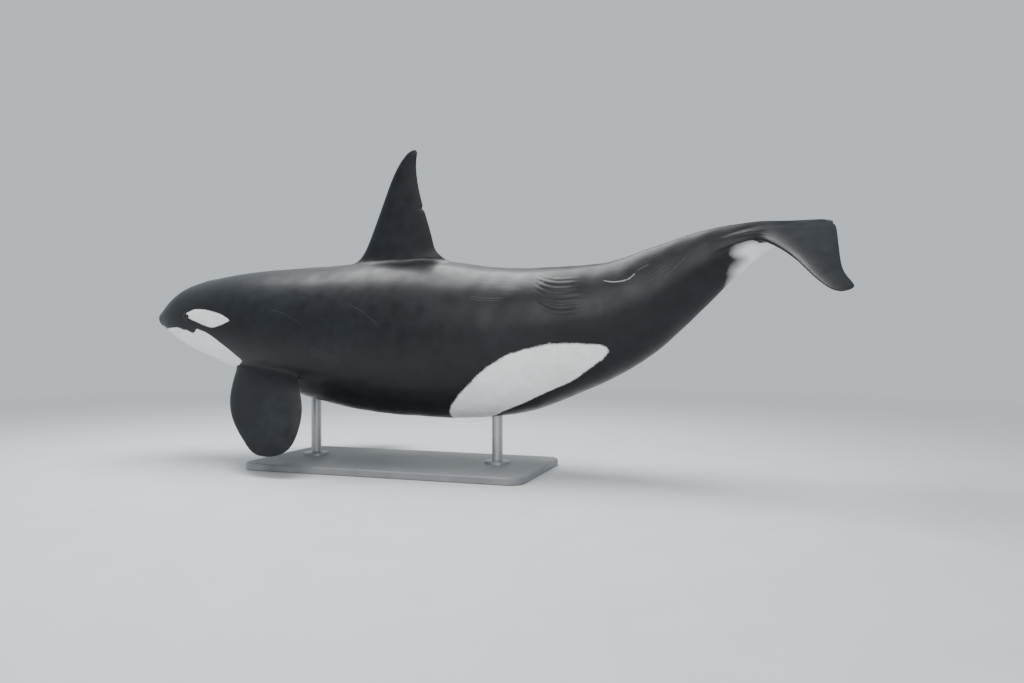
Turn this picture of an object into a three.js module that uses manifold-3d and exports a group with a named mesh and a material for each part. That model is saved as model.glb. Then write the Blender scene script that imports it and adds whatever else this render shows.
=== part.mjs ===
// A life-size orca, swimming, held by a plain display stand.
// Millimetres, +Z up. The head points to -X and the left side faces -Y.
// The origin is the centre of the underside of the stand's base.
import * as THREE from 'three';
import { mergeVertices } from 'three/addons/utils/BufferGeometryUtils.js';
import Module from 'manifold-3d';

const wasm = await Module();
wasm.setup();

// Pose and place
const GAP = 0.3;
const BANK_BODY = 11;
const BANK_FLUKES = 18;
const TWIST_START = 3850;
const TWIST_END = 5750;
const SNOUT_HEIGHT = 1320;
const STAND_BEHIND_SNOUT = 2590;

// The spine: distance behind the snout, and height over the snout tip, in the body's own plane
const SPINE_AT = [0, 550, 1150, 2050, 2850, 3500, 4050, 4500, 4900, 5300, 5700, 6020, 6120];
const SPINE_RISE = [0, 4, -56, -170, -211, -213, -116, 16, 231, 452, 596, 660, 679];

// Girth: at each place the height over the spine, the depth under it and the half width
const GIRTH = [
  { at: 0, up: 0, down: 0, side: 0 },
  { at: 30, up: 58, down: 72, side: 93 },
  { at: 110, up: 116, down: 120, side: 157 },
  { at: 210, up: 193, down: 178, side: 218 },
  { at: 350, up: 274, down: 265, side: 282 },
  { at: 650, up: 365, down: 374, side: 374 },
  { at: 1070, up: 465, down: 468, side: 464 },
  { at: 1930, up: 612, down: 632, side: 554 },
  { at: 2790, up: 680, down: 679, side: 566 },
  { at: 3650, up: 582, down: 617, side: 468 },
  { at: 4400, up: 437, down: 464, side: 310 },
  { at: 5050, up: 278, down: 280, side: 165 },
  { at: 5500, up: 142, down: 143, side: 106 },
  { at: 5830, up: 42, down: 42, side: 60 },
  { at: 6020, up: 8, down: 8, side: 20 },
];
// The section is an ellipse at 2. The keels over and under the tail stock are sharper.
const SQUARENESS = 2.08;
const KEEL_SHARPNESS = 1.62;
const KEEL_START = 3850;
const KEEL_END = 4950;
const KEEL_FADE_START = 5450;
const KEEL_FADE_END = 5850;

// Where the body is parted, behind the snout
const HEAD_END = 850;
const NECK_END = 1050;
const CHEST_END = 2010;
const WAIST = 3100;
const TAIL_ROOT = 4200;
const TAIL_END = 6012;
const SIDES = 48;
const HEAD_SIDES = 52;

// Mouth
const MOUTH_FRONT = -52;
const MOUTH_MIDDLE = -36;
const GAPE_AT = 570;
const GAPE_HEIGHT = -68;
const THROAT_AT = 740;
const LIP_STEP = 11;
const LIP_FADE = 130;

// Eyes
const EYE_AT = 586;
const EYE_ANGLE = 80;
const EYE_RADIUS = 30;
const EYE_DEPTH = 21;
const LID_LENGTH = 46;
const LID_HEIGHT = 32;
const LID_RISE = 10;
const EYE_OPENING = 42;
const EYE_OPENING_HEIGHT = 25;

// Blowhole
const BLOWHOLE_AT = 605;
const BLOWHOLE_WIDTH = 112;
const BLOWHOLE_SLOT = 18;
const BLOWHOLE_DEPTH = 16;

// Dorsal fin: the height over the snout tip, the places of both edges and the thickness
const FIN_EDGES = [
  { height: 330, front: 2070, rear: 3060, thick: 250 },
  { height: 440, front: 2146, rear: 3060, thick: 215 },
  { height: 500, front: 2212, rear: 2978, thick: 172 },
  { height: 620, front: 2302, rear: 2916, thick: 128 },
  { height: 780, front: 2388, rear: 2884, thick: 106 },
  { height: 1000, front: 2500, rear: 2834, thick: 84 },
  { height: 1180, front: 2595, rear: 2814, thick: 64 },
  { height: 1310, front: 2688, rear: 2822, thick: 48 },
  { height: 1372, front: 2756, rear: 2836, thick: 34 },
  { height: 1392, front: 2812, rear: 2818, thick: 8 },
];
const FIN_NICK_HEIGHT = 905;
const FIN_NICK_DEPTH = 14;
const FIN_NICK_WIDTH = 34;

// Flippers: distance out along the span, the front and rear edges, and the thickness
const FLIPPER_ROOT_AT = 1370;
const FLIPPER_ROOT_OUT = 300;
const FLIPPER_ROOT_DROP = -330;
const FLIPPER_DROOP = 40;
const FLIPPER_SWEEP = 21;
const FLIPPER_PITCH = 6;
const FLIPPER_EDGES = [
  { out: 0, front: 330, rear: -260, thick: 150 },
  { out: 200, front: 373, rear: -304, thick: 128 },
  { out: 400, front: 398, rear: -353, thick: 104 },
  { out: 600, front: 372, rear: -379, thick: 84 },
  { out: 783, front: 288, rear: -355, thick: 66 },
  { out: 926, front: 190, rear: -306, thick: 50 },
  { out: 1023, front: 106, rear: -224, thick: 34 },
  { out: 1066, front: -45, rear: -53, thick: 8 },
];

// Flukes: rows from the front edge to the rear edge, by their reach along the fluke. Each edge
// has its distance behind the snout and its distance out from the middle.
const FLUKE_DROOP = 20;
const FLUKE_CURL = 24;
const FLUKE_RISE = 100;
const FLUKE_RISE_START = 5300;
const FLUKE_RISE_END = 5950;
const FLUKE_SPAN = 816;
const FLUKE_EDGES = [
  { reach: 0, front: 5140, frontOut: 118, rear: 6020, rearOut: 0, thick: 120 },
  { reach: 70, front: 5276, frontOut: 118, rear: 6046, rearOut: 34, thick: 120 },
  { reach: 140, front: 5395, frontOut: 109, rear: 6059, rearOut: 84, thick: 115 },
  { reach: 220, front: 5494, frontOut: 104, rear: 6057, rearOut: 150, thick: 108 },
  { reach: 320, front: 5580, frontOut: 170, rear: 6049, rearOut: 246, thick: 98 },
  { reach: 500, front: 5720, frontOut: 373, rear: 6033, rearOut: 436, thick: 76 },
  { reach: 680, front: 5811, frontOut: 565, rear: 6027, rearOut: 614, thick: 54 },
  { reach: 810, front: 5881, frontOut: 702, rear: 6052, rearOut: 726, thick: 38 },
  { reach: 895, front: 5943, frontOut: 788, rear: 6065, rearOut: 785, thick: 24 },
  { reach: 938, front: 6025, frontOut: 816, rear: 6031, rearOut: 816, thick: 6 },
];
// Each fluke is parted from the stock by a plane from the stock's side to the notch
const FLUKE_PART_AT = 5300;
const FLUKE_PART_OUT = 146;
const FLUKE_PART_END = 6120;
const FLUKE_PART_HEIGHT = 620;

// Stand
const BASE_LENGTH = 2500;
const BASE_WIDTH = 1200;
const BASE_THICK = 60;
const BASE_CORNER = 120;
const BASE_BEVEL = 8;
const ROD_RADIUS = 45;
const ROD_FRONT_AT = 1740;
const ROD_REAR_AT = 3390;
const FLANGE_RADIUS = 110;
const FLANGE_THICK = 22;
const ROD_SINK = 260;

const radians = THREE.MathUtils.degToRad;
const X_AXIS = new THREE.Vector3(1, 0, 0);

// Colours and finishes
const BLACK_SKIN = new THREE.MeshStandardMaterial({ color: 0x15181c, roughness: 0.35, metalness: 0 });
const EYE_FINISH = new THREE.MeshStandardMaterial({ color: 0x1c120c, roughness: 0.1, metalness: 0 });
const BASE_FINISH = new THREE.MeshStandardMaterial({ color: 0x8b8f92, roughness: 0.5, metalness: 0 });
const ROD_FINISH = new THREE.MeshStandardMaterial({ color: 0xb4b8bb, roughness: 0.3, metalness: 1 });

// A smooth curve through a few sizes, as a natural cubic spline
function smoothCurve(places, sizes) {
  const last = places.length - 1;
  const bend = new Array(last + 1).fill(0);
  const share = new Array(last + 1).fill(0);
  for (let i = 1; i < last; i += 1) {
    const before = places[i] - places[i - 1];
    const after = places[i + 1] - places[i];
    const ratio = before / (before + after);
    const scale = ratio * bend[i - 1] + 2;
    const turn = (sizes[i + 1] - sizes[i]) / after - (sizes[i] - sizes[i - 1]) / before;
    bend[i] = (ratio - 1) / scale;
    share[i] = ((6 * turn) / (before + after) - ratio * share[i - 1]) / scale;
  }
  const curve = new Array(last + 1).fill(0);
  for (let i = last - 1; i > 0; i -= 1) {
    curve[i] = bend[i] * curve[i + 1] + share[i];
  }
  return (place) => {
    const at = THREE.MathUtils.clamp(place, places[0], places[last]);
    let i = 0;
    while (i < last - 1 && at > places[i + 1]) {
      i += 1;
    }
    const step = places[i + 1] - places[i];
    const left = (places[i + 1] - at) / step;
    const right = 1 - left;
    const cubic = (left ** 3 - left) * curve[i] + (right ** 3 - right) * curve[i + 1];
    return left * sizes[i] + right * sizes[i + 1] + (cubic * step * step) / 6;
  };
}

// The nose is round because the girth is smooth against the square root of the distance
const stretch = (at) => Math.sqrt(Math.max(at, 0));
const girthPlaces = GIRTH.map((station) => stretch(station.at));
const girthUp = smoothCurve(girthPlaces, GIRTH.map((station) => station.up));
const girthDown = smoothCurve(girthPlaces, GIRTH.map((station) => station.down));
const girthSide = smoothCurve(girthPlaces, GIRTH.map((station) => station.side));
const spineRise = smoothCurve(SPINE_AT, SPINE_RISE);
const step01 = THREE.MathUtils.smoothstep;

function spinePoint(at) {
  return new THREE.Vector3(at, 0, spineRise(at));
}

function spinePitch(at) {
  const reach = 5;
  return Math.atan2(spineRise(at + reach) - spineRise(at - reach), 2 * reach);
}

// From the body's own plane to the room: the bank, then the stand's place
const place = new THREE.Matrix4().makeTranslation(-STAND_BEHIND_SNOUT, 0, SNOUT_HEIGHT)
  .multiply(new THREE.Matrix4().makeRotationX(radians(BANK_BODY)));

// A point of the straight animal, carried along the bent and twisted spine
function alongSpine(at, left, up) {
  const twist = radians(BANK_FLUKES - BANK_BODY) * step01(at, TWIST_START, TWIST_END);
  const pitch = spinePitch(at);
  const offset = new THREE.Vector3(0, -left, up).applyAxisAngle(X_AXIS, twist);
  return spinePoint(at).add(new THREE.Vector3(-Math.sin(pitch) * offset.z, offset.y, Math.cos(pitch) * offset.z));
}

function power(value, exponent) {
  return Math.sign(value) * Math.abs(value) ** exponent;
}

// A point of the skin: angle 0 is the back, 90 the left side, 180 the belly
function skinOffset(at, angle, grow = 0) {
  const keel = step01(at, KEEL_START, KEEL_END) * (1 - step01(at, KEEL_FADE_START, KEEL_FADE_END));
  const squareness = THREE.MathUtils.lerp(SQUARENESS, KEEL_SHARPNESS, keel);
  const turn = radians(angle);
  const height = Math.cos(turn) >= 0 ? girthUp(stretch(at)) : girthDown(stretch(at));
  return {
    left: (girthSide(stretch(at)) + grow) * power(Math.sin(turn), 2 / squareness),
    up: (height + grow) * power(Math.cos(turn), 2 / squareness),
  };
}

function skinPoint(at, angle, grow = 0) {
  const offset = skinOffset(at, angle, grow);
  return alongSpine(at, offset.left, offset.up);
}

function skinRing(at, sides, grow = 0) {
  return Array.from({ length: sides }, (_, i) => skinPoint(at, (360 * i) / sides, grow));
}

// Faces between rings of equal count, closed by a point or a flat end
function loft(rings, firstPoint = null, lastPoint = null) {
  const positions = [];
  const faces = [];
  const sides = rings[0].length;
  const centre = (ring) => ring.reduce((sum, p) => sum.add(p), new THREE.Vector3()).divideScalar(ring.length);
  const ends = [firstPoint ?? centre(rings[0]), lastPoint ?? centre(rings[rings.length - 1])];
  rings.flat().concat(ends).forEach((p) => positions.push(p.x, p.y, p.z));
  const first = rings.length * sides;
  for (let k = 0; k < sides; k += 1) {
    const next = (k + 1) % sides;
    faces.push(first, k, next);
    for (let r = 0; r < rings.length - 1; r += 1) {
      const low = r * sides;
      const high = low + sides;
      faces.push(low + k, high + k, high + next, low + k, high + next, low + next);
    }
    const end = (rings.length - 1) * sides;
    faces.push(first + 1, end + next, end + k);
  }
  const geometry = new THREE.BufferGeometry();
  geometry.setAttribute('position', new THREE.Float32BufferAttribute(positions, 3));
  geometry.setIndex(faces);
  return geometry;
}

// Solids, joined and cut
function solid(geometry, matrix = null) {
  const bare = geometry.clone();
  bare.deleteAttribute('normal');
  bare.deleteAttribute('uv');
  if (matrix) {
    bare.applyMatrix4(matrix);
  }
  const merged = mergeVertices(bare, 1e-4);
  const mesh = new wasm.Mesh({
    numProp: 3,
    vertProperties: new Float32Array(merged.attributes.position.array),
    triVerts: new Uint32Array(merged.index.array),
  });
  const made = new wasm.Manifold(mesh);
  return made.volume() < 0 ? turnedOut(merged) : made;
}

function turnedOut(geometry) {
  const index = geometry.index.array;
  for (let i = 0; i < index.length; i += 3) {
    const held = index[i];
    index[i] = index[i + 1];
    index[i + 1] = held;
  }
  return solid(geometry);
}

function largest(body) {
  return body.decompose().reduce((best, piece) => (piece.volume() > best.volume() ? piece : best));
}

const orca = new THREE.Group();

function addNode(name, body, material) {
  const mesh = largest(body).getMesh();
  const geometry = new THREE.BufferGeometry();
  geometry.setAttribute('position', new THREE.Float32BufferAttribute(mesh.vertProperties, 3));
  geometry.setIndex(new THREE.Uint32BufferAttribute(mesh.triVerts, 1));
  geometry.computeVertexNormals();
  const node = new THREE.Mesh(geometry, material);
  node.name = name;
  orca.add(node);
}

// A length of the trunk between two flat partings
function trunk(from, to, rings, sides, grow = 0) {
  const places = Array.from({ length: rings }, (_, i) => {
    const share = i / (rings - 1);
    return THREE.MathUtils.lerp(stretch(from), stretch(to), share) ** 2;
  });
  return loft(places.map((at) => skinRing(at, sides, grow)));
}

function headTrunk(to, rings, sides, grow = 0) {
  const places = Array.from({ length: rings }, (_, i) => (stretch(to) * ((i + 1) / rings)) ** 2);
  return loft(places.map((at) => skinRing(at, sides, grow)), alongSpine(-grow, 0, 0));
}

// The line of the mouth, seen from the side
const mouthLine = smoothCurve([-60, 0, 120, 370, GAPE_AT], [-50, MOUTH_FRONT, -52, MOUTH_MIDDLE, GAPE_HEIGHT]);

function jawBlock() {
  const outline = new THREE.Shape();
  const steps = 14;
  const bottom = -560;
  outline.moveTo(-60, mouthLine(-60));
  for (let i = 1; i <= steps; i += 1) {
    const at = THREE.MathUtils.lerp(-60, GAPE_AT, i / steps);
    outline.lineTo(at, mouthLine(at));
  }
  outline.lineTo(GAPE_AT + 26, GAPE_HEIGHT - 20);
  outline.lineTo(THROAT_AT, bottom);
  outline.lineTo(-60, bottom);
  const width = 1000;
  const block = new THREE.ExtrudeGeometry(outline, { depth: width, bevelEnabled: false });
  block.rotateX(Math.PI / 2);
  block.translate(0, width / 2, 0);
  return block;
}

// The lower lip stands a little inside the upper one
function jawRing(at, sides) {
  const lean = 1 - step01(at, 330, GAPE_AT);
  return Array.from({ length: sides }, (_, i) => {
    const point = skinPoint(at, (360 * i) / sides);
    const under = THREE.MathUtils.clamp(1 - (mouthLine(at) - point.z) / LIP_FADE, 0, 1);
    const shift = (LIP_STEP * lean * under) / Math.max(Math.hypot(point.y, point.z - spineRise(at)), 1);
    const inward = spinePoint(at).sub(point).multiplyScalar(shift);
    return point.add(inward);
  });
}

function jawTrunk(to, rings, sides) {
  const places = Array.from({ length: rings }, (_, i) => (stretch(to) * ((i + 1) / rings)) ** 2);
  const tip = alongSpine(0, 0, 0).add(new THREE.Vector3(LIP_STEP * 0.8, 0, 0));
  const shifted = places.map((at) => jawRing(at, sides).map((p) => {
    p.x += LIP_STEP * 0.8 * (1 - step01(at, 0, 260));
    return p;
  }));
  return loft(shifted, tip);
}

// An upright frame on the skin: out of it, forward and up
function skinFrame(at, angle) {
  const centre = skinPoint(at, angle);
  const along = skinPoint(at + 5, angle).sub(skinPoint(at - 5, angle)).normalize();
  const around = skinPoint(at, angle - 2).sub(skinPoint(at, angle + 2)).normalize();
  const out = new THREE.Vector3().crossVectors(along, around).normalize();
  if (out.dot(centre.clone().sub(spinePoint(at))) < 0) {
    out.negate();
  }
  const up = new THREE.Vector3().crossVectors(out, along).normalize();
  if (up.z < 0) {
    up.negate();
  }
  const right = new THREE.Vector3().crossVectors(up, out);
  return { centre, out, up, matrix: new THREE.Matrix4().makeBasis(right, up, out).setPosition(centre) };
}

function almond(length, height, depth) {
  const half = length / 2;
  const outline = new THREE.Shape();
  outline.moveTo(-half, 0);
  outline.quadraticCurveTo(0, height, half, 0);
  outline.quadraticCurveTo(0, -height, -half, 0);
  const cutter = new THREE.ExtrudeGeometry(outline, { depth, bevelEnabled: false, curveSegments: 10 });
  return cutter.translate(0, 0, -depth / 2);
}

function eyeParts(side) {
  const frame = skinFrame(EYE_AT, side * EYE_ANGLE);
  const matrix = frame.matrix;
  const lids = new THREE.SphereGeometry(1, 20, 10).scale(LID_LENGTH, LID_HEIGHT, LID_RISE);
  const ball = new THREE.SphereGeometry(EYE_RADIUS, 16, 10).translate(0, 0, -EYE_DEPTH);
  const socket = new THREE.SphereGeometry(EYE_RADIUS + GAP, 16, 10).translate(0, 0, -EYE_DEPTH);
  const slot = almond(EYE_OPENING, EYE_OPENING_HEIGHT, 60);
  return {
    lids: solid(lids, matrix),
    ball: solid(ball, matrix),
    socket: solid(socket, matrix).add(solid(slot, matrix)),
  };
}

function blowhole() {
  const half = BLOWHOLE_WIDTH / 2;
  const bow = half * 0.62;
  const outline = new THREE.Shape();
  outline.moveTo(0, -half);
  outline.quadraticCurveTo(2 * bow, 0, 0, half);
  outline.quadraticCurveTo(2 * bow - 2 * BLOWHOLE_SLOT, 0, 0, -half);
  const depth = 120;
  const cutter = new THREE.ExtrudeGeometry(outline, { depth, bevelEnabled: false, curveSegments: 10 });
  const top = skinPoint(BLOWHOLE_AT, 0);
  return cutter.translate(BLOWHOLE_AT - bow * 0.6, 0, top.z - BLOWHOLE_DEPTH);
}

// A thin blade from a list of stations, its two faces split alike
function blade(stations, chordSteps, pointOf) {
  const positions = [];
  const faces = [];
  const share = Array.from({ length: chordSteps + 1 }, (_, j) => (1 - Math.cos((Math.PI * j) / chordSteps)) / 2);
  const profile = (c) => 2.05 * Math.sqrt(c) * (1 - c) ** 0.86;
  const rows = stations.map((station) => {
    const upper = [];
    const lower = [];
    share.forEach((c, j) => {
      const half = (station.thick / 2) * profile(c);
      upper.push(positions.length / 3);
      positions.push(...pointOf(station, c, half));
      if (j === 0 || j === chordSteps) {
        lower.push(upper[j]);
      } else {
        lower.push(positions.length / 3);
        positions.push(...pointOf(station, c, -half));
      }
    });
    return { upper, lower };
  });
  for (let i = 0; i < rows.length - 1; i += 1) {
    for (let j = 0; j < chordSteps; j += 1) {
      const cell = (row, k) => [row[k], row[k + 1]];
      const [a, b] = cell(rows[i].upper, j);
      const [d, c] = cell(rows[i + 1].upper, j);
      faces.push([a, b, c], [a, c, d]);
      const [e, f] = cell(rows[i].lower, j);
      const [h, g] = cell(rows[i + 1].lower, j);
      faces.push([e, g, f], [e, h, g]);
    }
  }
  for (const [row, first] of [[rows[0], true], [rows[rows.length - 1], false]]) {
    for (let j = 0; j < chordSteps; j += 1) {
      const quad = [row.upper[j], row.lower[j], row.lower[j + 1], row.upper[j + 1]];
      const ends = [[quad[0], quad[1], quad[2]], [quad[0], quad[2], quad[3]]];
      ends.forEach(([a, b, c]) => faces.push(first ? [a, b, c] : [a, c, b]));
    }
  }
  const whole = faces.filter(([a, b, c]) => a !== b && b !== c && a !== c);
  const geometry = new THREE.BufferGeometry();
  geometry.setAttribute('position', new THREE.Float32BufferAttribute(positions, 3));
  geometry.setIndex(whole.flat());
  return geometry;
}

// Stations between the named ones, on curves through each of their sizes. The tip is round
// because the curves are smooth against the square root of the distance from it.
function between(stations, key, count, ease = 1) {
  const root = stations[0][key];
  const tip = stations[stations.length - 1][key];
  const fromTip = (place) => -Math.sqrt(Math.max(tip - place, 0));
  const places = stations.map((station) => fromTip(station[key]));
  const curves = Object.keys(stations[0]).filter((name) => name !== key)
    .map((name) => [name, smoothCurve(places, stations.map((station) => station[name]))]);
  return Array.from({ length: count }, (_, i) => {
    const at = THREE.MathUtils.lerp(tip, root, (1 - i / (count - 1)) ** ease);
    const station = { [key]: at };
    curves.forEach(([name, curve]) => {
      station[name] = curve(fromTip(at));
    });
    return station;
  });
}

function dorsalFin() {
  const stations = between(FIN_EDGES, 'height', 18, 1.35);
  return blade(stations, 10, (station, c, half) => {
    const chord = station.rear - station.front;
    return [station.front + c * chord, -half, station.height];
  });
}

function finNick() {
  const cutter = new THREE.CylinderGeometry(FIN_NICK_WIDTH / 2, FIN_NICK_WIDTH / 2, 200, 12);
  const edge = smoothCurve(FIN_EDGES.map((s) => s.height), FIN_EDGES.map((s) => s.rear))(FIN_NICK_HEIGHT);
  return cutter.translate(edge + FIN_NICK_WIDTH / 2 - FIN_NICK_DEPTH, 0, FIN_NICK_HEIGHT);
}

// Flippers hang out, down and back from the lower chest
function flipper(side) {
  const stations = between(FLIPPER_EDGES, 'out', 15, 1.5);
  const droop = radians(FLIPPER_DROOP);
  const sweep = radians(FLIPPER_SWEEP);
  const span = new THREE.Vector3(
    Math.sin(sweep),
    -side * Math.cos(droop) * Math.cos(sweep),
    -Math.sin(droop) * Math.cos(sweep),
  );
  const forward = new THREE.Vector3(-1, 0, 0).applyAxisAngle(span, side * radians(FLIPPER_PITCH));
  const normal = new THREE.Vector3().crossVectors(span, forward).normalize();
  const root = new THREE.Vector3(FLIPPER_ROOT_AT, -side * FLIPPER_ROOT_OUT, FLIPPER_ROOT_DROP);
  return blade(stations, 10, (station, c, half) => {
    const edge = THREE.MathUtils.lerp(station.front, station.rear, c);
    return root.clone()
      .addScaledVector(span, station.out)
      .addScaledVector(forward, edge)
      .addScaledVector(normal, half)
      .toArray();
  });
}

function fluke(side) {
  const rows = between(FLUKE_EDGES, 'reach', 22, 1.35);
  return blade(rows, 12, (row, c, half) => {
    const at = THREE.MathUtils.lerp(row.front, row.rear, c);
    const out = THREE.MathUtils.lerp(row.frontOut, row.rearOut, c);
    const drop = Math.tan(radians(FLUKE_DROOP)) * out + FLUKE_CURL * (out / FLUKE_SPAN) ** 3;
    const rise = FLUKE_RISE * (1 - step01(at, FLUKE_RISE_START, FLUKE_RISE_END));
    return alongSpine(at, side * out, half + rise - drop).toArray();
  });
}

// What lies between the two parting planes. Ahead of them it opens out past the whole stock.
function stockWedge(grow) {
  const start = TAIL_ROOT - 50;
  const slope = FLUKE_PART_OUT / (FLUKE_PART_END - FLUKE_PART_AT);
  const steps = 24;
  const rings = Array.from({ length: steps + 1 }, (_, i) => {
    const at = THREE.MathUtils.lerp(start, FLUKE_PART_END, i / steps);
    const ahead = FLUKE_PART_AT - at;
    const width = ahead > 0 ? FLUKE_PART_OUT + ahead : FLUKE_PART_OUT + slope * ahead;
    const w = Math.max(width + grow, GAP);
    const h = FLUKE_PART_HEIGHT;
    return [[w, h], [w, -h], [-w, -h], [-w, h]].map(([left, up]) => alongSpine(at, left, up));
  });
  return solid(loft(rings));
}

// Stand: a bevelled plate, two rods with flanges
function standBase() {
  const x = BASE_LENGTH / 2 - BASE_BEVEL;
  const y = BASE_WIDTH / 2 - BASE_BEVEL;
  const outline = new THREE.Shape();
  outline.moveTo(-x + BASE_CORNER, -y);
  outline.lineTo(x - BASE_CORNER, -y);
  outline.absarc(x - BASE_CORNER, -y + BASE_CORNER, BASE_CORNER, -Math.PI / 2, 0);
  outline.absarc(x - BASE_CORNER, y - BASE_CORNER, BASE_CORNER, 0, Math.PI / 2);
  outline.absarc(-x + BASE_CORNER, y - BASE_CORNER, BASE_CORNER, Math.PI / 2, Math.PI);
  outline.absarc(-x + BASE_CORNER, -y + BASE_CORNER, BASE_CORNER, Math.PI, 1.5 * Math.PI);
  const bevel = { bevelEnabled: true, bevelThickness: BASE_BEVEL, bevelSize: BASE_BEVEL, bevelSegments: 1 };
  const plate = new THREE.ExtrudeGeometry(outline, {
    depth: BASE_THICK - 2 * BASE_BEVEL, curveSegments: 7, ...bevel,
  });
  return plate.translate(0, 0, BASE_BEVEL);
}

function standRod(at) {
  const foot = BASE_THICK + GAP;
  const top = place.clone();
  const belly = skinPoint(at, 180).applyMatrix4(top);
  const height = belly.z + ROD_SINK - foot;
  const profile = [
    [0, 0], [FLANGE_RADIUS, 0], [FLANGE_RADIUS, FLANGE_THICK - 6], [FLANGE_RADIUS - 6, FLANGE_THICK],
    [ROD_RADIUS + 8, FLANGE_THICK], [ROD_RADIUS, FLANGE_THICK + 8], [ROD_RADIUS, height], [0, height],
  ].map(([r, z]) => new THREE.Vector2(r, z));
  const rod = new THREE.LatheGeometry(profile, 24);
  rod.rotateX(Math.PI / 2);
  return rod.translate(belly.x, belly.y * 0.5, foot);
}

// The animal, node by node. Each length of trunk is made twice: as it is, and grown by the gap,
// with the same rings, to cut what grows from it.
const half = GAP / 2;
const HEAD_RINGS = 22;
const chestOf = (grow) => solid(trunk(NECK_END + half, CHEST_END - half, 12, SIDES, grow));
const middleOf = (grow) => solid(trunk(CHEST_END + half, WAIST - half, 11, SIDES, grow));
const rearOf = (grow) => solid(trunk(WAIST + half, TAIL_ROOT - half, 11, SIDES, grow));
const stock = solid(trunk(TAIL_ROOT + half, TAIL_END, 16, SIDES));
const tail = stock.add(solid(fluke(1))).add(solid(fluke(-1)));
const bySide = (a, b) => a.boundingBox().min[1] - b.boundingBox().min[1];
const bySize = (a, b) => b.volume() - a.volume();
const [leftFluke, rightFluke] = tail.subtract(stockWedge(half)).decompose().sort(bySize).slice(0, 2)
  .sort(bySide);
const block = solid(jawBlock());
const leftEye = eyeParts(1);
const rightEye = eyeParts(-1);
const head = solid(headTrunk(HEAD_END - half, HEAD_RINGS, HEAD_SIDES))
  .add(leftEye.lids)
  .add(rightEye.lids)
  .subtract(block)
  .subtract(leftEye.socket)
  .subtract(rightEye.socket)
  .subtract(solid(blowhole()));
const jaw = solid(jawTrunk(HEAD_END - half, HEAD_RINGS, HEAD_SIDES))
  .intersect(block.translate([-GAP, 0, -GAP]));

const animal = [
  ['head', head, BLACK_SKIN],
  ['lower_jaw', jaw, BLACK_SKIN],
  ['eye_left', leftEye.ball, EYE_FINISH],
  ['eye_right', rightEye.ball, EYE_FINISH],
  ['neck', solid(trunk(HEAD_END + half, NECK_END - half, 4, SIDES)), BLACK_SKIN],
  ['chest', chestOf(0), BLACK_SKIN],
  ['torso_middle', middleOf(0), BLACK_SKIN],
  ['torso_rear', rearOf(0), BLACK_SKIN],
  ['tail_stock', tail.intersect(stockWedge(-half)), BLACK_SKIN],
  ['dorsal_fin', solid(dorsalFin()).subtract(solid(finNick())).subtract(middleOf(GAP)), BLACK_SKIN],
  ['flipper_left', solid(flipper(1)).subtract(chestOf(GAP)), BLACK_SKIN],
  ['flipper_right', solid(flipper(-1)).subtract(chestOf(GAP)), BLACK_SKIN],
  ['fluke_left', leftFluke, BLACK_SKIN],
  ['fluke_right', rightFluke, BLACK_SKIN],
];
animal.forEach(([name, body, material]) => addNode(name, body.transform(place.toArray()), material));

const frontBelly = chestOf(GAP).transform(place.toArray());
const rearBelly = rearOf(GAP).transform(place.toArray());
addNode('stand_base', solid(standBase()), BASE_FINISH);
addNode('stand_rod_front', solid(standRod(ROD_FRONT_AT)).subtract(frontBelly), ROD_FINISH);
addNode('stand_rod_rear', solid(standRod(ROD_REAR_AT)).subtract(rearBelly), ROD_FINISH);

export default orca;
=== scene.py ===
# %% [markdown]
# # An orca on a display stand
# The real animal is one unbroken skin: a spindle of a body, with a tall back fin, two paddles and
# two flukes growing out of it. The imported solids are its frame: they are divided into named parts,
# and they already have the right size, pose and stand. Here one smooth skin is made to take the
# place of all the parts of flesh, and the stand keeps its solids and gets finishes of its own.

# %% Load the frame
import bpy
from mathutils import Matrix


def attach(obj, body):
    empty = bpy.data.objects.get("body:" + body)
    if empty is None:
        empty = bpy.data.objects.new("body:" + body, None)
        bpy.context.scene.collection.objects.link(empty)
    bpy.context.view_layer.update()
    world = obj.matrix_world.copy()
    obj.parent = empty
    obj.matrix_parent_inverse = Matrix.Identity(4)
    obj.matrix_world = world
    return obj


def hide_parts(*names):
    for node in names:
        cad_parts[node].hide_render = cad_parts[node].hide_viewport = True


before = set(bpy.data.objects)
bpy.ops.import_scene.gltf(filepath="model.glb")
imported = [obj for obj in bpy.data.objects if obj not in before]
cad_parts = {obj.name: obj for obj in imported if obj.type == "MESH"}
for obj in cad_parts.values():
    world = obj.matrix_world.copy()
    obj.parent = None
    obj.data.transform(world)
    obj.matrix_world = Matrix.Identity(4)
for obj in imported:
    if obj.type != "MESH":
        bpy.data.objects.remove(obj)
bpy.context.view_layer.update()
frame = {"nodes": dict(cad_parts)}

# %% [markdown]
# ## The camera
# The camera comes first, because it decides what is worth the most work. It stands a little
# to the tail's side of the animal, level with its heart, and looks slightly towards the head,
# with a wide lens. It is a plain camera: no shift and no blur.

# %% The camera
import math

import bmesh
import bpy
import numpy as np
from mathutils import Vector

CAMERA_AT = (3.08, -6.29, 1.091)
CAMERA_YAW = math.radians(18.4)
LENS, SENSOR = 28, 36

bpy.ops.object.select_all(action="DESELECT")
bpy.ops.object.camera_add(location=CAMERA_AT, rotation=(math.radians(90), 0, CAMERA_YAW))
camera = bpy.context.object
camera.name = "view_from_the_left"
camera.data.lens = LENS
camera.data.sensor_width = SENSOR
bpy.context.scene.camera = camera
print("camera", tuple(round(value, 2) for value in camera.location))

# %% [markdown]
# ## The curves of the body
# A swimming body has no flat face and no straight line, so its sizes are given at a few places
# behind the snout, and a smooth curve runs through them, as a bent batten does on a boat builder's
# floor. The same sizes made the solids, so the skin lies on them.

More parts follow.
